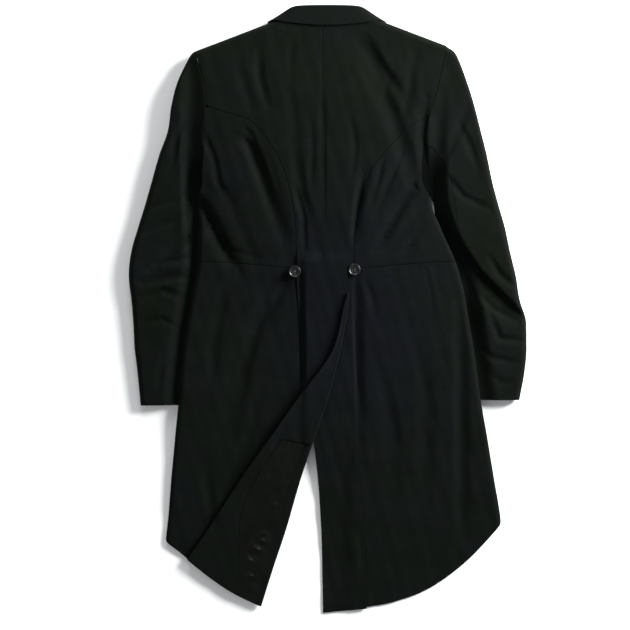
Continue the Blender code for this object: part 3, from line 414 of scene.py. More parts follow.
# Finer creases of the back and skirts, in the same columns
BACK_CREASES = (
    ((-212, 300), (-196, 262), (-186, 214), 3, 6, 11),
    ((-196, 232), (-170, 190), (-150, 140), 3.2, 6, 10),
    ((-224, 196), (-196, 146), (-166, 84), 8, 8, 13),
    ((-176, 110), (-150, 96), (-122, 92), 1.8, 5, 8),
    ((-122, 452), (-118, 400), (-106, 356), 3.8, 12, 10),
    ((-60, 470), (-66, 430), (-64, 395), 1.6, 8, 8),
    ((-136, 306), (-110, 236), (-74, 130), 6.5, 9, 17),
    ((-98, 250), (-84, 200), (-70, 150), 1.6, 5, 7),
    ((-30, 330), (-26, 270), (-30, 215), 1.5, 7, 10),
    ((-58, 214), (-42, 160), (-40, 104), 2.6, 7, 10),
    ((40, 330), (48, 282), (44, 240), 1.7, 7, 10),
    ((60, 236), (52, 176), (48, 116), 4.6, 7, 12),
    ((62, 470), (92, 420), (126, 372), 6, 14, 22),
    ((172, 366), (166, 300), (172, 232), 5, 6, 18),
    ((96, 262), (86, 214), (70, 168), 2.4, 6, 10),
    ((150, 210), (112, 150), (86, 104), 6.6, 8, 15),
    ((128, 268), (104, 214), (84, 166), 2.8, 7, 12),
    ((166, 140), (142, 108), (112, 92), 2.2, 5, 8),
    ((180, 168), (150, 128), (134, 90), 2.6, 6, 9),
    ((120, 420), (104, 396), (96, 360), 1.4, 8, 9),
    ((168, 73), (178, 38), (184, -1), 1.4, 4, 6),
    ((60, 60), (76, 24), (82, -20), 1.6, 7, 10),
    ((96, -110), (112, -210), (118, -320), 2.2, 18, 24),
    ((160, -60), (172, -190), (168, -330), 2.2, 20, 20),
    ((-68, 56), (-92, 10), (-126, -34), 3, 10, 14),
    ((-96, 52), (-130, -50), (-150, -150), 2.4, 12, 20),
    ((-176, 40), (-196, -40), (-204, -130), 2.4, 14, 16),
    ((-118, -150), (-140, -230), (-178, -320), 2, 16, 18),
    ((-214, -250), (-206, -330), (-196, -400), 1.6, 12, 14),
    ((56, -380), (60, -430), (58, -490), 0.8, 7, 7),
    ((-49, 58), (-46, -40), (-44, -150), 5, 8, 8),
    ((45, 58), (47, -60), (52, -230), 5, 18, 3),
)

# Creases of the front, which lies on the surface
FRONT_CREASES = (
    ((-150, 330), (-120, 250), (-60, 160), 2.4, 9, 16),
    ((146, 320), (110, 236), (56, 158), 2, 10, 14),
    ((-186, 150), (-140, 118), (-84, 96), 1.6, 6, 10),
    ((150, 140), (112, 112), (66, 100), 1.5, 6, 9),
    ((-120, 60), (-150, -20), (-180, -110), 2.2, 14, 18),
    ((130, 54), (158, -30), (192, -120), 2, 14, 16),
)

# Finer creases of the sleeves
SLEEVE_CREASES = (
    ((-246, 330), (-262, 296), (-270, 250), 2.6, 8, 12),
    ((-236, 250), (-240, 190), (-238, 120), 8, 6, 16),
    ((-232, 100), (-230, 20), (-236, -90), 6, 6, 16),
    ((-234, 216), (-262, 190), (-300, 176), 3.4, 7, 11),
    ((-240, 168), (-272, 150), (-318, 132), 3.4, 7, 12),
    ((-226, 96), (-262, 84), (-300, 78), 3, 6, 9),
    ((-262, -30), (-290, -18), (-326, -26), 2.4, 7, 10),
    ((-270, -70), (-290, -100), (-296, -140), 1.6, 8, 10),
    ((190, 252), (196, 190), (216, 118), 7, 12, 8),
    ((212, 120), (236, 60), (262, 0), 5, 10, 10),
    ((222, 330), (244, 290), (262, 240), 2.2, 9, 12),
    ((206, 232), (236, 196), (280, 176), 2.4, 7, 10),
    ((280, 92), (300, 60), (326, 40), 2.8, 7, 10),
    ((262, 28), (290, 0), (330, -20), 2.8, 6, 9),
    ((262, -60), (286, -84), (330, -92), 2.2, 7, 10),
    ((280, -110), (300, -126), (330, -128), 1.4, 7, 9),
)

# Creases of the turned-back tail, and the puckers of its lining, which stand up
FLAP_CREASES = (
    ((-20, -60), (-44, -110), (-62, -170), 1.2, 6, 9),
    ((-70, -190), (-98, -250), (-120, -310), 0.9, 6, 8),
)
PUCKERS = (
    ((-71, -300), (-64, -306), (-54, -313), 1.6, 3, 4),
    ((-104, -338), (-96, -344), (-84, -354), 3, 3, 4),
    ((-108, -356), (-98, -362), (-84, -373), 3.2, 3.4, 4.4),
    ((-122, -384), (-112, -391), (-98, -402), 3.5, 3, 4),
    ((-124, -396), (-114, -402), (-98, -412), 4.1, 3.4, 4.4),
    ((-136, -412), (-122, -418), (-104, -427), 3.8, 3, 5),
    ((-154, -432), (-132, -437), (-110, -445), 3.5, 4, 5),
    ((-156, -446), (-134, -452), (-112, -462), 3.2, 3.4, 4),
    ((-152, -458), (-136, -463), (-118, -471), 3.5, 3.4, 4.4),
    ((-154, -470), (-140, -478), (-124, -488), 3, 3.4, 4.4),
)

# How fine the shells are, and their low unevenness
FINE = 6
STATION = 2 * FINE
BACK_COLUMNS = 50
BACK_FIRST_ROWS = (0.0, 0.08, 0.22, 0.42)
ROW_TOLERANCE = 0.0005
TURN_STEPS = 7
LINING_COLUMNS = 22
FACING_COLUMNS = 16
SIDEBODY_COLUMNS = 46
SKIRT_BACK_STEPS = 52
SKIRT_FOLD_STEPS = 32
SKIRT_FRONT_STEPS = 34
SKIRT_ROWS = 130
FOREPART_ROWS = 6
FOREPART_COLUMNS = 60
LAPEL_ROWS = 110
LAPEL_COLUMNS = 16
SLEEVE_RINGS = 170
SLEEVE_OUTER_STEPS = 9
SLEEVE_INNER_STEPS = 6
TOP_SLEEVE_STEPS = 30
UNDER_SLEEVE_STEPS = 16
COLLAR_SECTIONS = 130
FALL_STEPS = 16
ROLL_STEPS = 9
STAND_STEPS = 12
BUTTON_STEPS = 72
HOLE_STEPS = 20
THREAD_STATIONS = 13
WAVE_LENGTHS = (23.0, 31.0, 38.0, 52.0, 67.0, 90.0)
WAVE_HEIGHT = 0.16
BACK_WAVES = 3
SLEEVE_WAVES = 7
EDGE_ROUND = 0.8
LINING_EDGE_ROUND = 0.4
EDGE_ANGLE = 55.0
EDGE_STEPS = 3

# How the grain of each panel on the right is turned, in degrees
GRAINS = {
    "back": 4.0, "vent_facing": -12.0, "sidebody": 7.0, "skirt": 9.0, "forepart": 5.0,
    "lapel": 20.0, "top_sleeve": 14.0, "under_sleeve": 14.0,
}

# How fine the patterns are, in waves or spots a metre, and how the twill is turned
TWILL_SCALE = 392.0
TWILL_ANGLE = 58.0
YARN_SCALE = 1700.0
NAP_SCALE = 420.0
PATCH_SCALE = 38.0
CLOUD_SCALE = 9.0
LINING_GRAIN = 22.0
THREAD_SCALE = 2600.0
CRUSH_SCALE = 60.0
SATIN_CLOUD_SCALE = 14.0
STREAK_SCALE = 420.0
SCUFF_SCALE = 1400.0
TWIST_SCALE = 900.0

# Colours, and the sheen of the nap
NAP_SHEEN = 0.02
COLLAR_SHEEN = 0.07
WOOL_DEEP = (0.0016, 0.0028, 0.0010)
WOOL_COOL = (0.0022, 0.0030, 0.0034)
WOOL_GREY = (0.0036, 0.0056, 0.0032)
# Violet tint painted round the waist of the back: a colour cast of the light there, not a colour of the
# wool
VIOLET_LIGHT_CAST = (0.0026, 0.0026, 0.0064)
# Painted shade in the grooves between the twill's ribs
WOOL_GROOVE_SHADE = (0.0010, 0.0015, 0.0008)
WOOL_LINT = (0.0130, 0.0165, 0.0130)
# Stretch and shift of the round patch where the violet light cast is painted
LIGHT_CAST_STRETCH = (4.2, 3.2, 1.0)
LIGHT_CAST_SHIFT = (-0.17, 0.03, 0.0)
SATIN_DEEP = (0.0008, 0.0012, 0.0006)
SATIN_LIGHT = (0.0016, 0.0022, 0.0013)
BUTTON_DEEP = (0.0030, 0.0031, 0.0032)
BUTTON_LIGHT = (0.0085, 0.0087, 0.0088)
# Painted shade and painted light along the thread's twist
THREAD_TWIST_SHADE = (0.006, 0.006, 0.007)
THREAD_TWIST_LIT = (0.020, 0.021, 0.023)
FLOOR_COLOUR = (0.92, 0.92, 0.92)
SKY_COLOUR = (0.95, 0.97, 1.0, 1.0)

# Floor, light and camera, in metres
FLOOR_REACH = 6.0
FLOOR_LEVEL = -0.0005
WORLD_LIGHT = 0.34
CAMERA_HEIGHT = 3.0
CAMERA_X = -0.02275
CAMERA_Y = -0.0096
FRAME_WIDTH = 1.1025
SENSOR_WIDTH = 36.0

# Lights aimed at the middle: name, place, size, power and colour
LIGHTS = (
    ("key_light", (1.95, 1.15, 0.95), 1.3, 245.0, (0.97, 1.0, 0.99)),
    ("top_light", (-0.35, 2.20, 0.90), 0.8, 26.0, (0.98, 1.0, 1.0)),
    ("fill_light", (-1.6, -0.8, 1.3), 1.8, 7.0, (1.0, 0.98, 0.96)),
)


def uneven(x, y, seed):
    """Low unevenness of worn cloth: a sum of waves in every direction."""
    chance = np.random.default_rng(seed)
    total = np.zeros(np.broadcast(x, y).shape)
    for length in WAVE_LENGTHS:
        angle = chance.uniform(0.0, math.pi)
        phase = chance.uniform(0.0, 2.0 * math.pi)
        run = x * math.cos(angle) + y * math.sin(angle)
        total += np.sin(2.0 * math.pi * run / length + phase)
    return total * WAVE_HEIGHT


def spline(rows, place, column=1):
    """Smooth value of one column of a table at a place in its first column. It
    never swings past the table's own values."""
    table = np.array(rows, dtype=float)
    knots = table[:, 0]
    values = table[:, column]
    steps = np.diff(values) / np.diff(knots)
    least = np.minimum(np.abs(steps[:-1]), np.abs(steps[1:]))
    slopes = np.gradient(values, knots)
    inner = np.clip(slopes[1:-1], -STEEPEST * least, STEEPEST * least)
    slopes[1:-1] = np.where(steps[:-1] * steps[1:] > 0.0, inner, 0.0)
    place = np.clip(place, knots[0], knots[-1])
    low = np.clip(np.searchsorted(knots, place, side="right") - 1, 0, len(knots) - 2)
    span = knots[low + 1] - knots[low]
    t = (place - knots[low]) / span
    rise = values[low + 1] - values[low]
    steady = values[low] + rise * t
    bend_low = (slopes[low] * span - rise) * t * (1 - t) ** 2
    bend_high = (rise - slopes[low + 1] * span) * t ** 2 * (1 - t)
    return steady + bend_low + bend_high


def along(points, share):
    """Points on a smooth curve through evenly counted points, at shares 0 to 1."""
    points = np.array(points, dtype=float)
    count = np.arange(len(points))
    place = np.asarray(share) * (len(points) - 1)
    columns = [spline(np.column_stack([count, points[:, k]]), place) for k in range(points.shape[1])]
    return np.stack(columns, axis=-1)


def ramp(value, start, end):
    """Smooth step from 0 at start to 1 at end."""
    t = np.clip((value - start) / (end - start), 0.0, 1.0)
    return t * t * (3.0 - 2.0 * t)


def side_reach(side, y):
    """How far the flat of the body reaches before the side fold begins."""
    return spline(BODY, y, 1 if side < 0 else 2) - SIDE_ROUND


def fold_depth(folds, x, y):
    """Sum of the folds at a point: each is a soft trough along a bent line."""
    total = np.zeros(np.broadcast(x, y).shape)
    for start, middle, end, depth, left, right in folds:
        best = np.full(total.shape, np.inf)
        across = np.zeros(total.shape)
        share = np.zeros(total.shape)
        for leg, (a, b) in enumerate(((start, middle), (middle, end))):
            run = np.subtract(b, a)
            length = math.hypot(*run)
            t = np.clip(((x - a[0]) * run[0] + (y - a[1]) * run[1]) / length ** 2, 0.0, 1.0)
            off_x = x - (a[0] + run[0] * t)
            off_y = y - (a[1] + run[1] * t)
            gap = np.hypot(off_x, off_y)
            nearer = gap < best
            best = np.where(nearer, gap, best)
            across = np.where(nearer, run[0] * off_y - run[1] * off_x, across)
            share = np.where(nearer, (leg + t) / 2.0, share)
        width = np.where(across > 0, left, right)
        hollow = np.clip(1.0 - (best / width) ** 2, 0.0, 1.0) ** 2
        total += depth * hollow * np.sqrt(np.sin(np.pi * np.clip(share, FOLD_END, 1.0 - FOLD_END)))
    return total


def shoulder_turn(x, y):
    """1 on the flat of the body, falling to 0 at the shoulder line."""
    below = SHOULDER_TOP - SHOULDER_SLOPE * np.abs(x) - y
    t = np.clip(1.0 - below / SHOULDER_ROUND, 0.0, 1.0)
    return np.sqrt(1.0 - t * t)


def front_level(side, x, y):
    """Height of the front's outer face over the surface, away from the shoulder."""
    level = LAP * ramp(y, *LAPEL_RISE)
    inner = spline(SLEEVE_INNER, y, 1 if side < 0 else 2)
    over_sleeve = ramp(side * x, inner + SLEEVE_RISE[0], inner + SLEEVE_RISE[1])
    above_cuff = ramp(y, CUFF + CUFF_RISE[0], CUFF + CUFF_RISE[1])
    below_armpit = 1.0 - ramp(y, ARMPIT + ARMPIT_FALL[0], ARMPIT + ARMPIT_FALL[1])
    level = level + (TUCK + CLEAR - level) * over_sleeve * (above_cuff * below_armpit)
    if side > 0:
        lapped = (1.0 - ramp(x, *LAP_SIDE)) * ramp(y, *LAP_FOOT) * (1.0 - ramp(y, *LAP_TOP))
        level = level + LAP * lapped
    return level + fold_depth(FRONT_CREASES, x, y)


def back_level(side, x, y):
    """Height of the back's outer face, away from the shoulder."""
    reach = side_reach(side, y)
    middle = spline(BODY, y, 3)
    edge = spline(BODY, y, 4)
    share = np.clip(np.abs(x) / reach, 0.0, 1.0)
    form = edge + (middle - edge) * (1.0 - share ** 2) - fold_depth(BACK_FOLDS, x, y)
    return form - fold_depth(BACK_CREASES, x, y) + uneven(x, y, BACK_WAVES)


def back_height(side, x, y):
    top = back_level(side, x, y)
    middle = 0.5 * (top + front_level(side, x, y))
    return middle + (top - middle) * shoulder_turn(x, y)


def front_height(side, x, y):
    bottom = front_level(side, x, y)
    middle = 0.5 * (back_level(side, x, y) + bottom)
    return middle + (bottom - middle) * shoulder_turn(x, y)


def body_point(side, turn, y, lift):
    """Point on the body's outer face. Turn runs 0 to 1 over the back, 1 to 2
    round the side fold and 2 to 3 over the front, back to the middle."""
    reach = side_reach(side, y)
    flat = np.where(turn < 1.5, turn, 3.0 - turn) * reach
    x_back = side * flat
    edge = side * reach
    top = back_height(side, edge, y)
    bottom = front_height(side, edge, y)
    angle = np.pi * np.clip(turn - 1.0, 0.0, 1.0)
    x_fold = side * (reach + SIDE_ROUND * np.sin(angle))
    z_fold = 0.5 * (top + bottom) + 0.5 * (top - bottom) * np.cos(angle)
    on_back = turn <= 1.0
    on_front = turn >= 2.0
    x = np.where(on_back | on_front, x_back, x_fold)
    z_back = back_height(side, x_back, y)
    z_front = front_height(side, x_back, y)
    z = np.where(on_back, z_back, np.where(on_front, z_front, z_fold))
    if lift is not None:
        z = z + np.where(on_back, lift(x, y), 0.0)
    return np.stack([x, y + 0.0 * x, z], axis=-1)


def on_back(side, x, y):
    """Points of the back, at a distance from the middle, as (turn, level)."""
    return np.stack([x / side_reach(side, y), y], axis=-1)


def on_front(side, x, y):
    return np.stack([3.0 - x / side_reach(side, y), y], axis=-1)


def even(count):
    return np.linspace(0.0, 1.0, count)


def between(first, last, shares):
    """Rows of (turn, level) points from one edge of a panel to the other."""
    shares = np.asarray(shares)[None, :, None]
    return first[:, None, :] * (1.0 - shares) + last[:, None, :] * shares


def tail_share(y):
    """0 on the back, 1 on the tail, where layers lie on each other."""
    return 1.0 - ramp(y, *TAIL_LEVELS)


def left_tail_lift(x, y):
    over_right_tail = ramp(x, *LEFT_OVER_RIGHT) * ramp(y, *OFF_SURFACE)
    return LAP * tail_share(y) * (1.0 + over_right_tail)


def right_tail_lift(x, y):
    """Over the skirt by the pleat, and down to the surface beyond it below."""
    return LAP * tail_share(y) * np.maximum(ramp(x, *OVER_PLEAT), ramp(y, *OFF_SURFACE))


def moved_aside(points, distance):
    """Curve moved sideways in plan, to its left as it runs."""
    run = np.gradient(points, axis=0)
    run /= np.linalg.norm(run, axis=-1, keepdims=True)
    return points + distance * np.stack([-run[:, 1], run[:, 0]], axis=-1)


def back_edges(side, table, shares):
    """Edges of a back as (turn, level) curves."""
    points = along(table, shares)
    return on_back(side, points[:, 0], points[:, 1]), on_back(side, points[:, 2], points[:, 3])


def distance_round(side, layer, x, y):
    """Distance round the body from the middle of the back to a place on a layer:
    0 the back, 1 the side fold, where x is a share of the turn, and 2 the front."""
    reach = side_reach(side, y)
    fold = math.pi * SIDE_ROUND
    return (x, reach + fold * x, 2.0 * reach + fold - x)[layer]


def round_the_body(side, points):
    """The (turn, level) points of (distance round the body, level) points."""
    distance = points[:, 0]
    reach = side_reach(side, points[:, 1])
    fold = math.pi * SIDE_ROUND
    past = distance - reach
    beyond = np.where(past < fold, 1.0 + past / fold, 2.0 + (past - fold) / reach)
    turn = np.where(past < 0.0, distance / reach, beyond)
    return np.stack([turn, points[:, 1]], axis=-1)


def out_to_armhole(side, grid, rows):
    """Bring the outer ends of these rows of a back to the armhole."""
    level = grid[:, -1, 1]
    missing = armhole_reach(side, level) / side_reach(side, level) - grid[:, -1, 0]
    grid[..., 0] += even(grid.shape[1])[None, :] * np.where(rows, missing, 0.0)[:, None]
    return grid


def raise_rows(side, grid, fade, neck, front):
    """Bring the first row to the shoulder line and the neck, and ease the next."""
    flat = 3.0 - grid[..., 0] if front else grid[..., 0]
    x = flat * side_reach(side, grid[..., 1])
    shoulder = SHOULDER_TOP - SHOULDER_SLOPE * np.abs(x[0]) - SEAM * 0.5
    target = np.minimum(shoulder, neck + NECK_RISE * np.abs(x[0]))
    y = grid[..., 1] + fade[:, None] * (target - grid[0, :, 1])[None, :]
    flat = x / side_reach(side, y)
    return np.stack([3.0 - flat if front else flat, y], axis=-1)


def armhole_reach(side, y):
    return spline(ARMHOLE, y, 1 if side < 0 else 2)


def side_seam_points(side, table, distance, count):
    """Points down the side seam, as (turn, level), moved away from the middle."""
    line = along(table, even(count))
    return on_front(side, line[:, 0] + distance, line[:, 1])


def skirt_curve(side, table, x_column, shares):
    """Waist seam or lower edge of a skirt as (turn, level) points."""
    points = [
        (distance_round(side, row[0], row[x_column], row[x_column + 1]), row[x_column + 1])
        for row in table
    ]
    return round_the_body(side, along(points, shares))


def waist_level(side, skirt, turn):
    """Level of the waist seam, which the skirt gives, at a place round the body."""
    curve = skirt_curve(side, skirt, 1, even(SKIRT_COLUMNS))
    return np.interp(turn, curve[:, 0], curve[:, 1]) + WAIST_SEAM


def pleat_reach(back, y):
    """Place of the tail's outer edge, below the waist."""
    rows = [(row[3], row[2]) for row in back[:SIDEBODY_ROWS[1]:-1]]
    return spline(rows, y)


def sleeve_top(side, x, y, height):
    """Height of a sleeve: full beside the body, and flat where it goes beneath."""
    edge = side_reach(side, np.minimum(y, ARMPIT)) + SIDE_ROUND
    beside = ramp(side * x - edge, *BESIDE_BODY)
    folded = fold_depth(SLEEVE_FOLDS, x, y) + fold_depth(SLEEVE_CREASES, x, y)
    folded = folded - uneven(x, y, SLEEVE_WAVES)
    return TUCK + np.maximum(height - TUCK - folded, SLEEVE_LEAST) * beside


def sleeve_ring_points(side, table, ring_share, across, upper):
    """Points over or under a sleeve, at shares of its length and of its width."""
    row = along(table, ring_share)
    outer_x, outer_y, inner_x, inner_y, height, kept = [row[:, None, k] for k in range(6)]
    length = np.hypot(outer_x - inner_x, outer_y - inner_y)
    head = table[0]
    head_x = head[0] + (head[2] - head[0]) * across
    head_y = head[1] + (head[3] - head[1]) * across
    hollow = armhole_reach(side, head_y) + ARMHOLE_GAP - head_x
    x = outer_x + (inner_x - outer_x) * across + kept * hollow
    y = outer_y + (inner_y - outer_y) * across
    ring = np.asarray(ring_share)[:, None] * (len(table) - 1)
    near_armhole = (1.0 - ramp(ring, 0.0, ARMHOLE_RINGS)) * (1.0 - ramp(across, *ARMHOLE_TAPER))
    x_world = side * x
    body_top = back_height(side, x_world, y)
    body_low = front_height(side, x_world, y)
    high = sleeve_top(side, x_world, y, height) * (1.0 - near_armhole) + body_top * near_armhole
    low = body_low * near_armhole
    from_outer = across * length
    from_inner = (1.0 - across) * length
    outer_turn = np.clip(1.0 - from_outer / SLEEVE_ROUND, 0.0, 1.0)
    inner_turn = np.clip(1.0 - from_inner / INNER_ROUND, 0.0, 1.0)
    fullness = np.sqrt(np.clip(1.0 - outer_turn ** 2 - inner_turn ** 2, 0.0, 1.0))
    middle = 0.5 * (high + low)
    z = middle + (high - low) * 0.5 * fullness * (1.0 if upper else -1.0)
    return np.stack([x_world, y + 0.0 * x, z], axis=-1)


def edge_shares(length, reach, count):
    """Shares that crowd towards a rounded edge."""
    return reach / length * (1.0 - np.cos(np.linspace(0.0, math.pi / 2.0, count)))


def collar_rows():
    """Table rows from the left end, round the back of the neck, to the right end."""
    right = [np.array(row) for row in COLLAR]
    left = [row * np.array([-1.0, 1.0, 1.0]) for row in right[:0:-1]]
    shift = np.array([COLLAR_MIDDLE, 0.0, 0.0])
    return np.array([row + shift for row in left + right])


# Building the pieces on that form
def sheet_normals(points, around=False):
    """Normals of a grid of points; around closes its columns into a loop."""
    if around:
        across = np.roll(points, -1, axis=1) - np.roll(points, 1, axis=1)
    else:
        across = np.gradient(points, axis=1)
    normal = np.cross(across, np.gradient(points, axis=0))
    return normal / np.maximum(np.linalg.norm(normal, axis=-1, keepdims=True), 1e-9)


def body_sheet(side, grid, lift=None):
    """Outer and inner points of a panel, from its grid of turns and levels."""
    turn = grid[..., 0]
    outer = body_point(side, turn, grid[..., 1], lift)
    angle = np.pi * np.clip(turn - 1.0, 0.0, 1.0)
    outward = np.stack([side * np.sin(angle), 0.0 * angle, np.cos(angle)], axis=-1)
    normal = sheet_normals(outer)
    normal *= np.sign(np.sum(normal * outward, axis=-1, keepdims=True))
    return outer, outer - WALL * normal


def grid_faces(rows, columns, keep=None):
    """Quads of a grid, row by row, where keep(row, column) holds."""
    return [
        (i * columns + j, i * columns + j + 1, (i + 1) * columns + j + 1, (i + 1) * columns + j)
        for i in range(rows - 1)
        for j in range(columns - 1)
        if keep is None or keep(i, j)
    ]


def wall_mesh(name, outer, inner, faces):
    """Closed wall between two point sheets, with a rim along every open edge."""
    outer = np.reshape(outer, (-1, 3)) * MM
    inner = np.reshape(inner, (-1, 3)) * MM
    count = len(outer)
    quads = np.array(faces)
    edges = np.concatenate([quads[:, [k, (k + 1) % 4]] for k in range(4)])
    keys = edges[:, 0].astype(np.int64) * count + edges[:, 1]
    opposite = edges[:, 1].astype(np.int64) * count + edges[:, 0]
    rim = edges[~np.isin(keys, opposite)]
    rim_quads = np.column_stack([rim[:, 1], rim[:, 0], rim[:, 0] + count, rim[:, 1] + count])
    everything = np.concatenate([quads, quads[:, ::-1] + count, rim_quads])
    used, places = np.unique(everything, return_inverse=True)
    points = np.concatenate([outer, inner])[used]
    mesh = bpy.data.meshes.new(name)
    mesh.from_pydata(points.tolist(), [], places.reshape(everything.shape).tolist())
    shape = bmesh.new()
    shape.from_mesh(mesh)
    bmesh.ops.recalc_face_normals(shape, faces=shape.faces[:])
    shape.to_mesh(mesh)
    shape.free()
    mesh.shade_smooth()
    return mesh


def add_piece(name, mesh, node, material):
    item = bpy.data.objects.new(name, mesh)
    bpy.context.scene.collection.objects.link(item)
    item.data.materials.clear()
    item.data.materials.append(material)
    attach(item, "root")
    if node:
        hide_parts(node)
    return item


def round_edges(item, width):
    """Turned cloth edges: rounded, so that a seam shows as a soft groove."""
    bevel = item.modifiers.new("turned_edge", "BEVEL")
    bevel.limit_method = "ANGLE"
    bevel.angle_limit = math.radians(EDGE_ANGLE)
    bevel.width = width * MM
    bevel.segments = EDGE_STEPS
    bevel.use_clamp_overlap = True


def cloth(
    node, outer, inner, faces=None, material=None, slot="wool", edge=EDGE_ROUND,
):
    """One panel, of the coat's wool unless it has a material of its own: its wall,
    its rounded edge and what it was cut from."""
    name = slot + "_" + node
    if faces is None:
        faces = grid_faces(*outer.shape[:2])
    mesh = wall_mesh(name, outer, inner, faces)
    item = add_piece(name, mesh, node, material or wool(node))
    round_edges(item, edge)
    return item


def finer(grid):
    """The same grid with more rows, on smooth curves through its own."""
    rows = (len(grid) - 1) * FINE + 1
    return along(grid.reshape(len(grid), -1), even(rows)).reshape(rows, *grid.shape[1:])


def back_rows():
    """Shares of a back's length: close together at the shoulder's round edge."""
    step = 1.0 / (len(BACK_LEFT) - 1)
    first = step * np.array(BACK_FIRST_ROWS)
    return np.concatenate([first, step * np.linspace(1.0, len(BACK_LEFT) - 1.0, BACK_STEPS)])


def back_grid(side, table, shares):
    rows = back_rows()
    centre, outer = back_edges(side, table, rows)
    fade = (1.0 - np.clip(rows / NECK_SHARE, 0.0, 1.0)) ** 2
    grid = raise_rows(side, between(centre, outer, shares), fade, BACK_NECK, False)
    at_armhole = rows <= SIDEBODY_ROWS[0] / (len(table) - 1.0) + ROW_TOLERANCE
    return finer(out_to_armhole(side, grid, at_armhole))


def make_back_right():
    grid = back_grid(1, BACK_RIGHT, even(BACK_COLUMNS))
    outer, inner = body_sheet(1, grid, right_tail_lift)
    cloth("back_right", outer, inner)


def flap_columns(rows):
    """Free edge of the turned-back tail, and where its columns lie across it."""
    share = even(rows)
    free = along([row[:2] for row in FLAP], share)
    lining = spline([(k / (len(FLAP) - 1), row[2]) for k, row in enumerate(FLAP)], share)
    split = np.clip(lining, *LINING_SHARES)[:, None]
    inner = even(LINING_COLUMNS + 1)
    outer = even(FACING_COLUMNS + 1)[1:]
    return free, np.concatenate([split * inner, split + (1.0 - split) * outer], axis=1)


def make_back_left():
    """Left back, its tail, the turn at its fold and the part lying on top."""
    shares = even(BACK_COLUMNS)
    grid = back_grid(-1, BACK_LEFT, shares)
    rows = len(grid)
    outer, inner = body_sheet(-1, grid, left_tail_lift)
    first = rows - 1 - (len(BACK_LEFT) - 1 - FLAP_FIRST_ROW) * STATION
    fold = outer[first:, 0]
    free, columns = flap_columns(len(fold))
    station = np.arange(len(fold)) / STATION
    run = np.gradient(fold[:, :2], axis=0)
    outward = np.stack([-run[:, 1], run[:, 0], 0.0 * run[:, 0]], axis=-1)
    outward /= np.linalg.norm(outward, axis=-1, keepdims=True)
    turn_outer = []
    turn_inner = []
    pivot = fold + REST_GAP * UPWARD
    for angle in np.radians(np.linspace(-TURN_ANGLE, TURN_ANGLE, TURN_STEPS)):
        direction = math.cos(angle) * outward + math.sin(angle) * UPWARD
        turn_outer.append(pivot + REST_GAP * direction)
        turn_inner.append(pivot + (REST_GAP + WALL) * direction)
    x = fold[:, None, 0] * (1.0 - columns) - free[:, None, 0] * columns
    y = fold[:, None, 1] * (1.0 - columns) + free[:, None, 1] * columns
    last = station[-1]
    hem = ramp(station, last - HEM_STATIONS, last)[:, None]
    y = y - FLAP_HEM_BOW * hem * np.sin(np.pi * columns)
    rest = back_height(-1, x, y) + left_tail_lift(x, np.minimum(y, TAIL_LEVELS[0]))
    bulge = FLAP_LIFT * np.sin(np.pi * np.clip(station / BULGE_STATIONS, 0.0, 1.0))[:, None]
    z = rest + 2.0 * REST_GAP + bulge * columns ** 2 - fold_depth(FLAP_CREASES, x, y)
    flap_outer = np.stack([x, y, z], axis=-1)
    flap_inner = flap_outer + WALL * UPWARD
    side_outer = np.concatenate([np.stack(turn_outer, axis=1), flap_outer], axis=1)[:, ::-1]
    side_inner = np.concatenate([np.stack(turn_inner, axis=1), flap_inner], axis=1)[:, ::-1]
    width = side_outer.shape[1]
    whole_outer = np.zeros((rows, width + len(shares), 3))
    whole_inner = np.zeros_like(whole_outer)
    whole_outer[:, width:] = outer
    whole_inner[:, width:] = inner
    whole_outer[first:, :width] = side_outer
    whole_inner[first:, :width] = side_inner
    faces = grid_faces(*whole_outer.shape[:2], lambda i, j: j >= width or i >= first)
    cloth("back_left", whole_outer, whole_inner, faces)
    return flap_inner


def inset_columns(points, inset):
    """The same sheet with its first column moved in by a share of its width."""
    last = points.shape[1] - 1
    place = (inset + (1.0 - inset) * even(last + 1)) * last
    low = np.minimum(place.astype(int), last - 1)
    part = (place - low)[None, :, None]
    return points[:, low] * (1.0 - part) + points[:, low + 1] * part


def make_flap_cloths(flap):
    """Facing and lining on the turned-back part, made from its upper points."""
    rows, columns = flap.shape[:2]
    first = LINING_FIRST_ROW * STATION
    split = LINING_COLUMNS
    low = flap + REST_GAP * UPWARD
    across = flap[:, -1:] - flap[:, :1]
    across = across / np.linalg.norm(across, axis=-1, keepdims=True)
    facing = low + 0.0
    facing[first:, split] += SEAM * across[first:, 0]
    faces = grid_faces(rows, columns, lambda i, j: i < first or j >= split)
    cloth("vent_facing_left", facing + WALL * UPWARD, facing, faces)
    lining = inset_columns(low[first:, : split + 1], LINING_INSET)
    lining[0] += np.array([0.0, -LINING_DROP, 0.0])
    pucker = fold_depth(PUCKERS, lining[..., 0], lining[..., 1])
    ease = np.sin(np.pi * even(lining.shape[1]))[None, :] ** 0.5
    lining = lining + (pucker * ease)[..., None] * UPWARD
    cloth(
        "tail_lining_left", lining + LINING_WALL * UPWARD, lining,
        material=satin(), slot="lining", edge=LINING_EDGE_ROUND,
    )


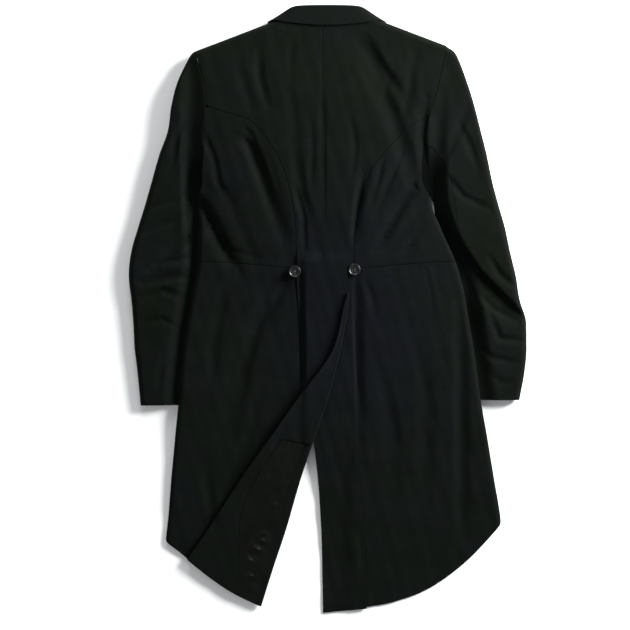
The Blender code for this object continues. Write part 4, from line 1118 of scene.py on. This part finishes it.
def make_sidebody(word, side, back, seam, skirt):
    """Panel under the arm, from the back's curved seam round the side fold."""
    count = len(back) - 1.0
    rows = np.linspace(SIDEBODY_ROWS[0] / count, SIDEBODY_ROWS[1] / count, SIDEBODY_STEPS)
    rows[0] += SIDEBODY_TIP / count
    edge = moved_aside(along(back, rows)[:, 2:4], BACK_SEAM)
    first = on_back(side, edge[:, 0], edge[:, 1])
    upper = [(armhole_reach(side, y), y) for y in SIDEBODY_LEVELS[side]]
    upper += [(distance_round(side, 1, share, y), y) for share, y in ARMHOLE_FOOT]
    below = SIDEBODY_STEPS // 3
    armhole_rows = round_the_body(side, along(upper, even(SIDEBODY_STEPS - below)))
    seam_rows = side_seam_points(side, seam, SEAM, below)
    last = np.concatenate([armhole_rows, seam_rows])
    grid = between(first, last, even(SIDEBODY_COLUMNS))
    grid[-1, :, 1] = waist_level(side, skirt, grid[-1, :, 0])
    grid = finer(grid)
    outer, inner = body_sheet(side, grid)
    cloth("sidebody_" + word, outer, inner)


def make_skirt(word, side, back, table):
    """Skirt from the back pleat, round the side fold, to the cut-away front."""
    upper = np.linspace(0.0, SKIRT_BACK_SHARE, SKIRT_BACK_STEPS)
    fold = np.linspace(SKIRT_BACK_SHARE, SKIRT_FRONT_SHARE, SKIRT_FOLD_STEPS)[1:]
    front = np.linspace(SKIRT_FRONT_SHARE, 1.0, SKIRT_FRONT_STEPS)[1:]
    shares = np.concatenate([upper, fold, front])
    waist = skirt_curve(side, table, 1, shares)
    hem = skirt_curve(side, table, 3, shares)
    grid = between(waist, hem, even(SKIRT_ROWS))
    hidden_edge = on_back(side, pleat_reach(back, grid[0, :, 1]) - UNDERLAP, grid[0, :, 1])[:, 0]
    fade = (1.0 - np.clip(shares / PLEAT_SHARE, 0.0, 1.0)) ** 2
    grid[:, :, 0] += fade[:, None] * (hidden_edge - grid[0, :, 0])[None, :]
    outer, inner = body_sheet(side, grid)
    cloth("skirt_" + word, outer, inner)


def make_forepart(word, side, seam, skirt):
    """Front, on the underside, from the roll line to the armhole and side seam."""
    upper = np.concatenate([np.array(SHOULDER_STEPS), np.linspace(SHOULDER_END, 1.0, FOREPART_ROWS)])
    points = along(FOREPART, upper)
    first_xy = np.concatenate([points[:, :2], along(FRONT_EDGE, even(FRONT_STEPS + 1))[1:]])
    first = on_front(side, first_xy[:, 0], first_xy[:, 1])
    armhole = armhole_reach(side, points[:, 2])
    upper_last = on_front(side, armhole, points[:, 2])
    last = np.concatenate([upper_last, side_seam_points(side, seam, 0.0, FRONT_STEPS)])
    grid = between(first, last, even(FOREPART_COLUMNS))
    fade = np.zeros(len(grid))
    fade[: len(upper)] = (1.0 - np.clip(upper / SHOULDER_FADE, 0.0, 1.0)) ** 2
    grid = raise_rows(side, grid, fade, FRONT_NECK, True)
    grid[-1, :, 1] = waist_level(side, skirt, grid[-1, :, 0])
    grid = finer(grid)
    outer, inner = body_sheet(side, grid)
    cloth("forepart_" + word, outer, inner)


def make_lapel(word, side):
    """Lapel lying flat on the surface, under the forepart."""
    points = along(LAPEL, even(LAPEL_ROWS))
    grid = between(points[:, :2], points[:, 2:], even(LAPEL_COLUMNS))
    flat = np.stack([side * grid[..., 0], grid[..., 1], 0.0 * grid[..., 0]], axis=-1)
    cloth("lapel_" + word, flat + WALL * UPWARD, flat)


def make_sleeve(word, side, table):
    """Tube of rings from armhole to cuff, in a top sleeve and an under sleeve."""
    rings = even(SLEEVE_RINGS)
    outer_part = edge_shares(TYPICAL_WIDTH, SLEEVE_ROUND, SLEEVE_OUTER_STEPS)
    inner_part = 1.0 - edge_shares(TYPICAL_WIDTH, INNER_ROUND, SLEEVE_INNER_STEPS)[::-1]
    cut = SEAM * 0.5 / TYPICAL_WIDTH
    flat_outer = np.linspace(outer_part[-1], SLEEVE_SEAM - cut, TOP_SLEEVE_STEPS)[1:]
    flat_inner = np.linspace(SLEEVE_SEAM + cut, inner_part[0], UNDER_SLEEVE_STEPS)[:-1]
    across = np.concatenate([outer_part, flat_outer, flat_inner, inner_part])
    over = sleeve_ring_points(side, table, rings, across[None, :], True)
    under = sleeve_ring_points(side, table, rings, across[None, :], False)
    loop = np.concatenate([over, under[:, -2:0:-1]], axis=1)
    count = loop.shape[1]
    normal = side * sheet_normals(loop, around=True)
    inside = loop - WALL * normal
    first_under = len(outer_part) + len(flat_outer)
    last_under = count - first_under
    under_columns = list(range(first_under, last_under + 1))
    top_columns = list(range(last_under + 1, count)) + list(range(0, first_under))
    for part, columns, rests_on in (
        ("under_sleeve_", under_columns, ["floor"]),
        ("top_sleeve_", top_columns, ["floor", "wool_under_sleeve_" + word]),
    ):
        cloth(part + word, loop[:, columns], inside[:, columns])


def make_collar():
    """Folded band: fall outside, stand inside, joined round the roll line."""
    rows = collar_rows()
    shares = even(COLLAR_SECTIONS)
    roll = along(rows[:, 0], shares)
    leaf = along(rows[:, 1], shares)
    seam = along(rows[:, 2], shares)
    tangent = np.gradient(roll, axis=0)
    down = leaf - roll
    normal = np.cross(down, tangent)
    normal /= np.linalg.norm(normal, axis=-1, keepdims=True)
    away = np.cross(tangent, normal)
    away /= np.linalg.norm(away, axis=-1, keepdims=True)
    away *= -np.sign(np.sum(away * down, axis=-1, keepdims=True))
    fall_end = roll + COLLAR_BEND * normal
    stand_start = roll - COLLAR_BEND * normal
    middle = [leaf + (fall_end - leaf) * t for t in np.linspace(0.0, FALL_END, FALL_STEPS)]
    for angle in np.radians(np.linspace(90.0, -90.0, ROLL_STEPS)):
        middle.append(roll + COLLAR_BEND * (math.sin(angle) * normal + math.cos(angle) * away))
    middle += [stand_start + (seam - stand_start) * t for t in even(STAND_STEPS)[1:]]
    sheet = np.stack(middle, axis=1)
    face = sheet_normals(sheet)
    outer = sheet + 0.5 * WALL * face
    inner = sheet - 0.5 * WALL * face
    cloth("collar", outer, inner, material=wool("collar", COLLAR_SHEEN))


# Buttons
def make_button(node):
    """Dished button with a rounded rim, four holes and crossed thread."""
    low, high = [np.array(corner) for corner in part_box(node)]
    centre = 0.5 * (low + high)
    radius = 0.5 * (high[0] - low[0])
    height = high[2] - low[2]
    angles = 2.0 * math.pi * np.arange(BUTTON_STEPS) / BUTTON_STEPS
    rim = [(radius * math.cos(a), radius * math.sin(a)) for a in angles]
    shape = bmesh.new()
    rings = [[shape.verts.new((r * x, r * y, z * height)) for x, y in rim] for r, z in BUTTON_SECTION]
    for upper, lower in zip(rings, rings[1:]):
        for k in range(BUTTON_STEPS):
            after = (k + 1) % BUTTON_STEPS
            shape.faces.new((upper[k], upper[after], lower[after], lower[k]))
    shape.faces.new(rings[0])
    shape.faces.new(rings[-1])
    bmesh.ops.recalc_face_normals(shape, faces=shape.faces[:])
    mesh = bpy.data.meshes.new("button_" + node)
    shape.to_mesh(mesh)
    shape.free()
    mesh.shade_smooth()
    mesh.set_sharp_from_angle(angle=math.radians(BUTTON_SHARP_ANGLE))
    item = add_piece("button_" + node, mesh, node, horn(node))
    item.location = (centre[0], centre[1], low[2])
    offset = HOLE_OFFSET * MM
    places = [(offset, offset), (-offset, offset), (-offset, -offset), (offset, -offset)]
    cutters = []
    for number, (dx, dy) in enumerate(places):
        bpy.ops.mesh.primitive_cylinder_add(
            vertices=HOLE_STEPS, radius=HOLE_RADIUS * MM, depth=4.0 * height,
            location=(centre[0] + dx, centre[1] + dy, centre[2]),
        )
        cutter = bpy.context.active_object
        cutters.append(cutter)
        cut = item.modifiers.new("hole_" + str(number), "BOOLEAN")
        cut.operation = "DIFFERENCE"
        cut.solver = "EXACT"
        cut.object = cutter
    bpy.context.view_layer.update()
    ready = item.evaluated_get(bpy.context.evaluated_depsgraph_get())
    whole = bpy.data.meshes.new_from_object(ready)
    item.modifiers.clear()
    item.data = whole
    for cutter in cutters:
        bpy.data.objects.remove(cutter, do_unlink=True)
    make_thread(node, centre, low[2], DISH_SHARE * height, places)


def make_thread(node, centre, base, seat, places):
    """Two crossed pairs of strands over the dish, down through the holes."""
    curve = bpy.data.curves.new("thread_" + node, "CURVE")
    curve.dimensions = "3D"
    curve.bevel_depth = THREAD_RADIUS * MM
    curve.bevel_resolution = 2
    curve.use_fill_caps = True
    for one, other, rise in THREAD_PAIRS:
        for shift in (-1.0, 0.0, 1.0):
            start = np.array(places[one])
            end = np.array(places[other])
            along_line = (end - start) / np.linalg.norm(end - start)
            aside = np.array([-along_line[1], along_line[0]]) * shift * THREAD_SPACING * THREAD_RADIUS * MM
            line = curve.splines.new("POLY")
            stations = even(THREAD_STATIONS)
            line.points.add(len(stations) - 1)
            for number, t in enumerate(stations):
                flat = start + (end - start) * t + aside
                height = THREAD_END * seat
                if 0.0 < t < 1.0:
                    arch = math.sin(math.pi * t) ** THREAD_BEND
                    height = seat + THREAD_RADIUS * MM * rise * arch
                line.points[number].co = (flat[0], flat[1], height, 1.0)
    loose = bpy.data.objects.new("loose_thread", curve)
    bpy.context.scene.collection.objects.link(loose)
    bpy.context.view_layer.update()
    mesh = bpy.data.meshes.new_from_object(loose.evaluated_get(bpy.context.evaluated_depsgraph_get()))
    bpy.data.objects.remove(loose, do_unlink=True)
    mesh.shade_smooth()
    thread = add_piece("thread_" + node, mesh, None, thread_material())
    thread.location = (centre[0], centre[1], base)


# Materials
def new_material(name, finish):
    colour, roughness, metallic = finish
    material = bpy.data.materials.new(name)
    material.use_nodes = True
    tree = material.node_tree
    shader = tree.nodes["Principled BSDF"]
    shader.inputs["Base Color"].default_value = (*colour, 1.0)
    shader.inputs["Roughness"].default_value = roughness
    shader.inputs["Metallic"].default_value = metallic
    return material, tree, shader


def add_node(tree, kind, inputs=None, **settings):
    made = tree.nodes.new(kind)
    for key, value in settings.items():
        setattr(made, key, value)
    for key, value in (inputs or {}).items():
        if isinstance(value, bpy.types.NodeSocket):
            tree.links.new(value, made.inputs[key])
        else:
            made.inputs[key].default_value = value
    return made


def placed(tree, turn=0.0, stretch=(1.0, 1.0, 1.0), shift=(0.0, 0.0, 0.0)):
    """Object coordinates in metres, turned in plan by an angle in degrees."""
    where = add_node(tree, "ShaderNodeTexCoord")
    return add_node(
        tree, "ShaderNodeMapping",
        {
            "Vector": where.outputs["Object"], "Rotation": (0.0, 0.0, math.radians(turn)),
            "Scale": stretch, "Location": shift,
        },
    ).outputs["Vector"]


def noise(tree, vector, scale, detail=3.0, roughness=0.55):
    return add_node(
        tree, "ShaderNodeTexNoise",
        {"Vector": vector, "Scale": scale, "Detail": detail, "Roughness": roughness},
    ).outputs["Fac"]


def ramped(tree, value, low, high, first, last):
    """Value from first to last as the input goes from low to high."""
    return add_node(
        tree, "ShaderNodeMapRange",
        {"Value": value, "From Min": low, "From Max": high, "To Min": first, "To Max": last},
    ).outputs["Result"]


def mixed(tree, share, first, second):
    """First colour to second by a share from 0 to 1."""
    made = tree.nodes.new("ShaderNodeMix")
    made.data_type = "RGBA"
    colours = [socket for socket in made.inputs if socket.type == "RGBA"]
    for socket, value in zip(colours, (first, second)):
        if isinstance(value, bpy.types.NodeSocket):
            tree.links.new(value, socket)
        else:
            socket.default_value = (*value, 1.0)
    factor = made.inputs[0]
    if isinstance(share, bpy.types.NodeSocket):
        tree.links.new(share, factor)
    else:
        factor.default_value = share
    return [socket for socket in made.outputs if socket.type == "RGBA"][0]


def dressed(tree, shader, tone, roughness, settings, bumps):
    """Join a material's colour, and roughness if it varies, to its shader, give it
    other settings, and chain its bumps: each is a height, strength and distance."""
    tree.links.new(tone, shader.inputs["Base Color"])
    if roughness is not None:
        tree.links.new(roughness, shader.inputs["Roughness"])
    for name, value in settings.items():
        shader.inputs[name].default_value = value
    below = None
    for height, strength, distance in bumps:
        inputs = {"Height": height, "Strength": strength, "Distance": distance}
        if below is not None:
            inputs["Normal"] = below
        below = add_node(tree, "ShaderNodeBump", inputs).outputs["Normal"]
    tree.links.new(below, shader.inputs["Normal"])


def wool(node, sheen=NAP_SHEEN):
    """Black wool twill: fine diagonal ribs with painted shade in their grooves, a short nap, lint, and a
    violet cast of the light painted round the waist.
    Each panel has its own grain, and its pattern begins in its own place."""
    material, tree, shader = new_material("wool_" + node, FINISHES["wool"])
    part, _, word = node.rpartition("_")
    grain = GRAINS.get(part, 0.0) * (-1.0 if word == "left" else 1.0)
    shift = (0.001 * (len(node) * 37 % 91), 0.0013 * (sum(map(ord, node)) % 83), 0.0)
    flat = placed(tree, grain, shift=shift)
    ribs = add_node(
        tree, "ShaderNodeTexWave",
        {
            "Vector": placed(tree, grain + TWILL_ANGLE), "Scale": TWILL_SCALE, "Distortion": 0.6,
            "Detail": 1.0, "Detail Scale": 1.4,
        },
        wave_type="BANDS", bands_direction="X",
    ).outputs["Fac"]
    yarns = noise(tree, placed(tree, grain, (1.0, 0.22, 1.0)), YARN_SCALE, 2.0)
    nap = noise(tree, flat, NAP_SCALE, 4.0, 0.62)
    cloud = noise(tree, flat, CLOUD_SCALE, 3.0)
    patch = noise(tree, flat, PATCH_SCALE, 4.0, 0.6)
    # Round patch near the waist over which the violet light cast is painted
    waist = add_node(
        tree, "ShaderNodeTexGradient",
        {"Vector": placed(tree, 0.0, LIGHT_CAST_STRETCH, LIGHT_CAST_SHIFT)}, gradient_type="SPHERICAL",
    ).outputs["Fac"]
    tone = mixed(tree, ramped(tree, cloud, 0.34, 0.66, 0.0, 1.0), WOOL_DEEP, WOOL_COOL)
    # Painted violet light cast in that patch
    tone = mixed(tree, ramped(tree, waist, 0.0, 0.9, 0.0, 0.75), tone, VIOLET_LIGHT_CAST)
    tone = mixed(tree, ramped(tree, patch, 0.40, 0.72, 0.0, 0.55), tone, WOOL_GREY)
    # Painted shade darkens the grooves between the ribs
    tone = mixed(tree, ramped(tree, ribs, 0.0, 1.0, 0.42, 0.0), tone, WOOL_GROOVE_SHADE)
    tone = mixed(tree, ramped(tree, nap, 0.62, 0.78, 0.0, 0.30), tone, WOOL_LINT)
    settings = {
        "Specular IOR Level": 0.05, "Sheen Weight": sheen, "Sheen Roughness": 0.4,
        "Sheen Tint": (0.72, 0.86, 0.86, 1.0),
    }
    bumps = (
        (patch, 0.55, 0.0016), (nap, 0.35, 0.0003), (yarns, 0.30, 0.00016), (ribs, 0.45, 0.00018),
    )
    dressed(tree, shader, tone, ramped(tree, patch, 0.3, 0.7, 0.80, 0.95), settings, bumps)
    return material


def satin():
    """Black twilled lining: smooth, with drawn threads and soft creasing."""
    material, tree, shader = new_material("lining_satin", FINISHES["lining"])
    flat = placed(tree, LINING_GRAIN)
    drawn = placed(tree, LINING_GRAIN, (1.0, 0.05, 1.0))
    threads = noise(tree, drawn, THREAD_SCALE, 2.0)
    crush = noise(tree, flat, CRUSH_SCALE, 4.0, 0.6)
    cloud = noise(tree, flat, SATIN_CLOUD_SCALE, 2.0)
    tone = mixed(tree, ramped(tree, cloud, 0.35, 0.65, 0.0, 1.0), SATIN_DEEP, SATIN_LIGHT)
    bumps = ((crush, 0.6, 0.0012), (threads, 0.35, 0.00008))
    gloss = ramped(tree, crush, 0.3, 0.7, 0.30, 0.42)
    dressed(tree, shader, tone, gloss, {"Specular IOR Level": 0.14}, bumps)
    return material


def horn(node):
    """Dark polished button, with fine streaks and scuffs."""
    material, tree, shader = new_material("button_" + node, FINISHES["button"])
    streaks = noise(tree, placed(tree, 35.0, (1.0, 0.25, 1.0)), STREAK_SCALE, 3.0)
    scuffs = noise(tree, placed(tree), SCUFF_SCALE, 4.0, 0.6)
    tone = mixed(tree, ramped(tree, streaks, 0.35, 0.7, 0.0, 1.0), BUTTON_DEEP, BUTTON_LIGHT)
    settings = {"Specular IOR Level": 0.28, "Coat Weight": 0.05, "Coat Roughness": 0.25}
    gloss = ramped(tree, scuffs, 0.35, 0.7, 0.24, 0.42)
    dressed(tree, shader, tone, gloss, settings, ((scuffs, 0.2, 0.00006),))
    return material


def thread_material():
    """Twisted sewing thread, with light and shade painted along its twist."""
    material, tree, shader = new_material("button_thread", FINISHES["wool"])
    twist = add_node(
        tree, "ShaderNodeTexWave",
        {"Vector": placed(tree, 30.0), "Scale": TWIST_SCALE, "Distortion": 1.5, "Detail": 2.0},
        wave_type="BANDS", bands_direction="DIAGONAL",
    ).outputs["Fac"]
    # Bands of painted shade and painted light follow the twist
    tone = mixed(tree, twist, THREAD_TWIST_SHADE, THREAD_TWIST_LIT)
    dressed(tree, shader, tone, None, {"Roughness": 0.7}, ((twist, 0.6, 0.0001),))
    return material


# Floor, light and camera
def make_stage():
    mesh = bpy.data.meshes.new("floor")
    corners = [(x * FLOOR_REACH, y * FLOOR_REACH) for x, y in ((-1, -1), (1, -1), (1, 1), (-1, 1))]
    mesh.from_pydata([(x, y, FLOOR_LEVEL) for x, y in corners], [], [(0, 1, 2, 3)])
    floor = bpy.data.objects.new("floor", mesh)
    bpy.context.scene.collection.objects.link(floor)
    floor.data.materials.append(new_material("floor", (FLOOR_COLOUR, 0.9, 0.0))[0])
    world = bpy.data.worlds.new("studio")
    world.use_nodes = True
    sky = world.node_tree.nodes["Background"]
    sky.inputs["Color"].default_value = SKY_COLOUR
    sky.inputs["Strength"].default_value = WORLD_LIGHT
    bpy.context.scene.world = world
    bpy.context.scene.view_settings.view_transform = "Standard"


def add_light(name, place, size, power, colour):
    lamp = bpy.data.lights.new(name, "AREA")
    lamp.shape = "DISK"
    lamp.size = size
    lamp.energy = power
    lamp.color = colour
    item = bpy.data.objects.new(name, lamp)
    bpy.context.scene.collection.objects.link(item)
    item.location = place
    item.rotation_euler = (-Vector(place)).to_track_quat("-Z", "Y").to_euler()


def make_camera():
    lens = bpy.data.cameras.new("camera")
    lens.sensor_width = SENSOR_WIDTH
    lens.lens = SENSOR_WIDTH * CAMERA_HEIGHT / FRAME_WIDTH
    item = bpy.data.objects.new("camera", lens)
    bpy.context.scene.collection.objects.link(item)
    item.location = (CAMERA_X, CAMERA_Y, CAMERA_HEIGHT)
    bpy.context.scene.camera = item


def main():
    make_stage()
    for light in LIGHTS:
        add_light(*light)
    make_camera()
    make_back_right()
    flap = make_back_left()
    make_flap_cloths(flap)
    for word, side, back, seam, skirt, sleeve in (
        ("left", -1, BACK_LEFT, SIDE_SEAM_LEFT, SKIRT_LEFT, SLEEVE_LEFT),
        ("right", 1, BACK_RIGHT, SIDE_SEAM_RIGHT, SKIRT_RIGHT, SLEEVE_RIGHT),
    ):
        make_sidebody(word, side, back, seam, skirt)
        make_skirt(word, side, back, skirt)
        make_forepart(word, side, seam, skirt)
        make_lapel(word, side)
        make_sleeve(word, side, sleeve)
    make_collar()
    for node in ("back_button_left", "back_button_right", "front_button"):
        make_button(node)


main()
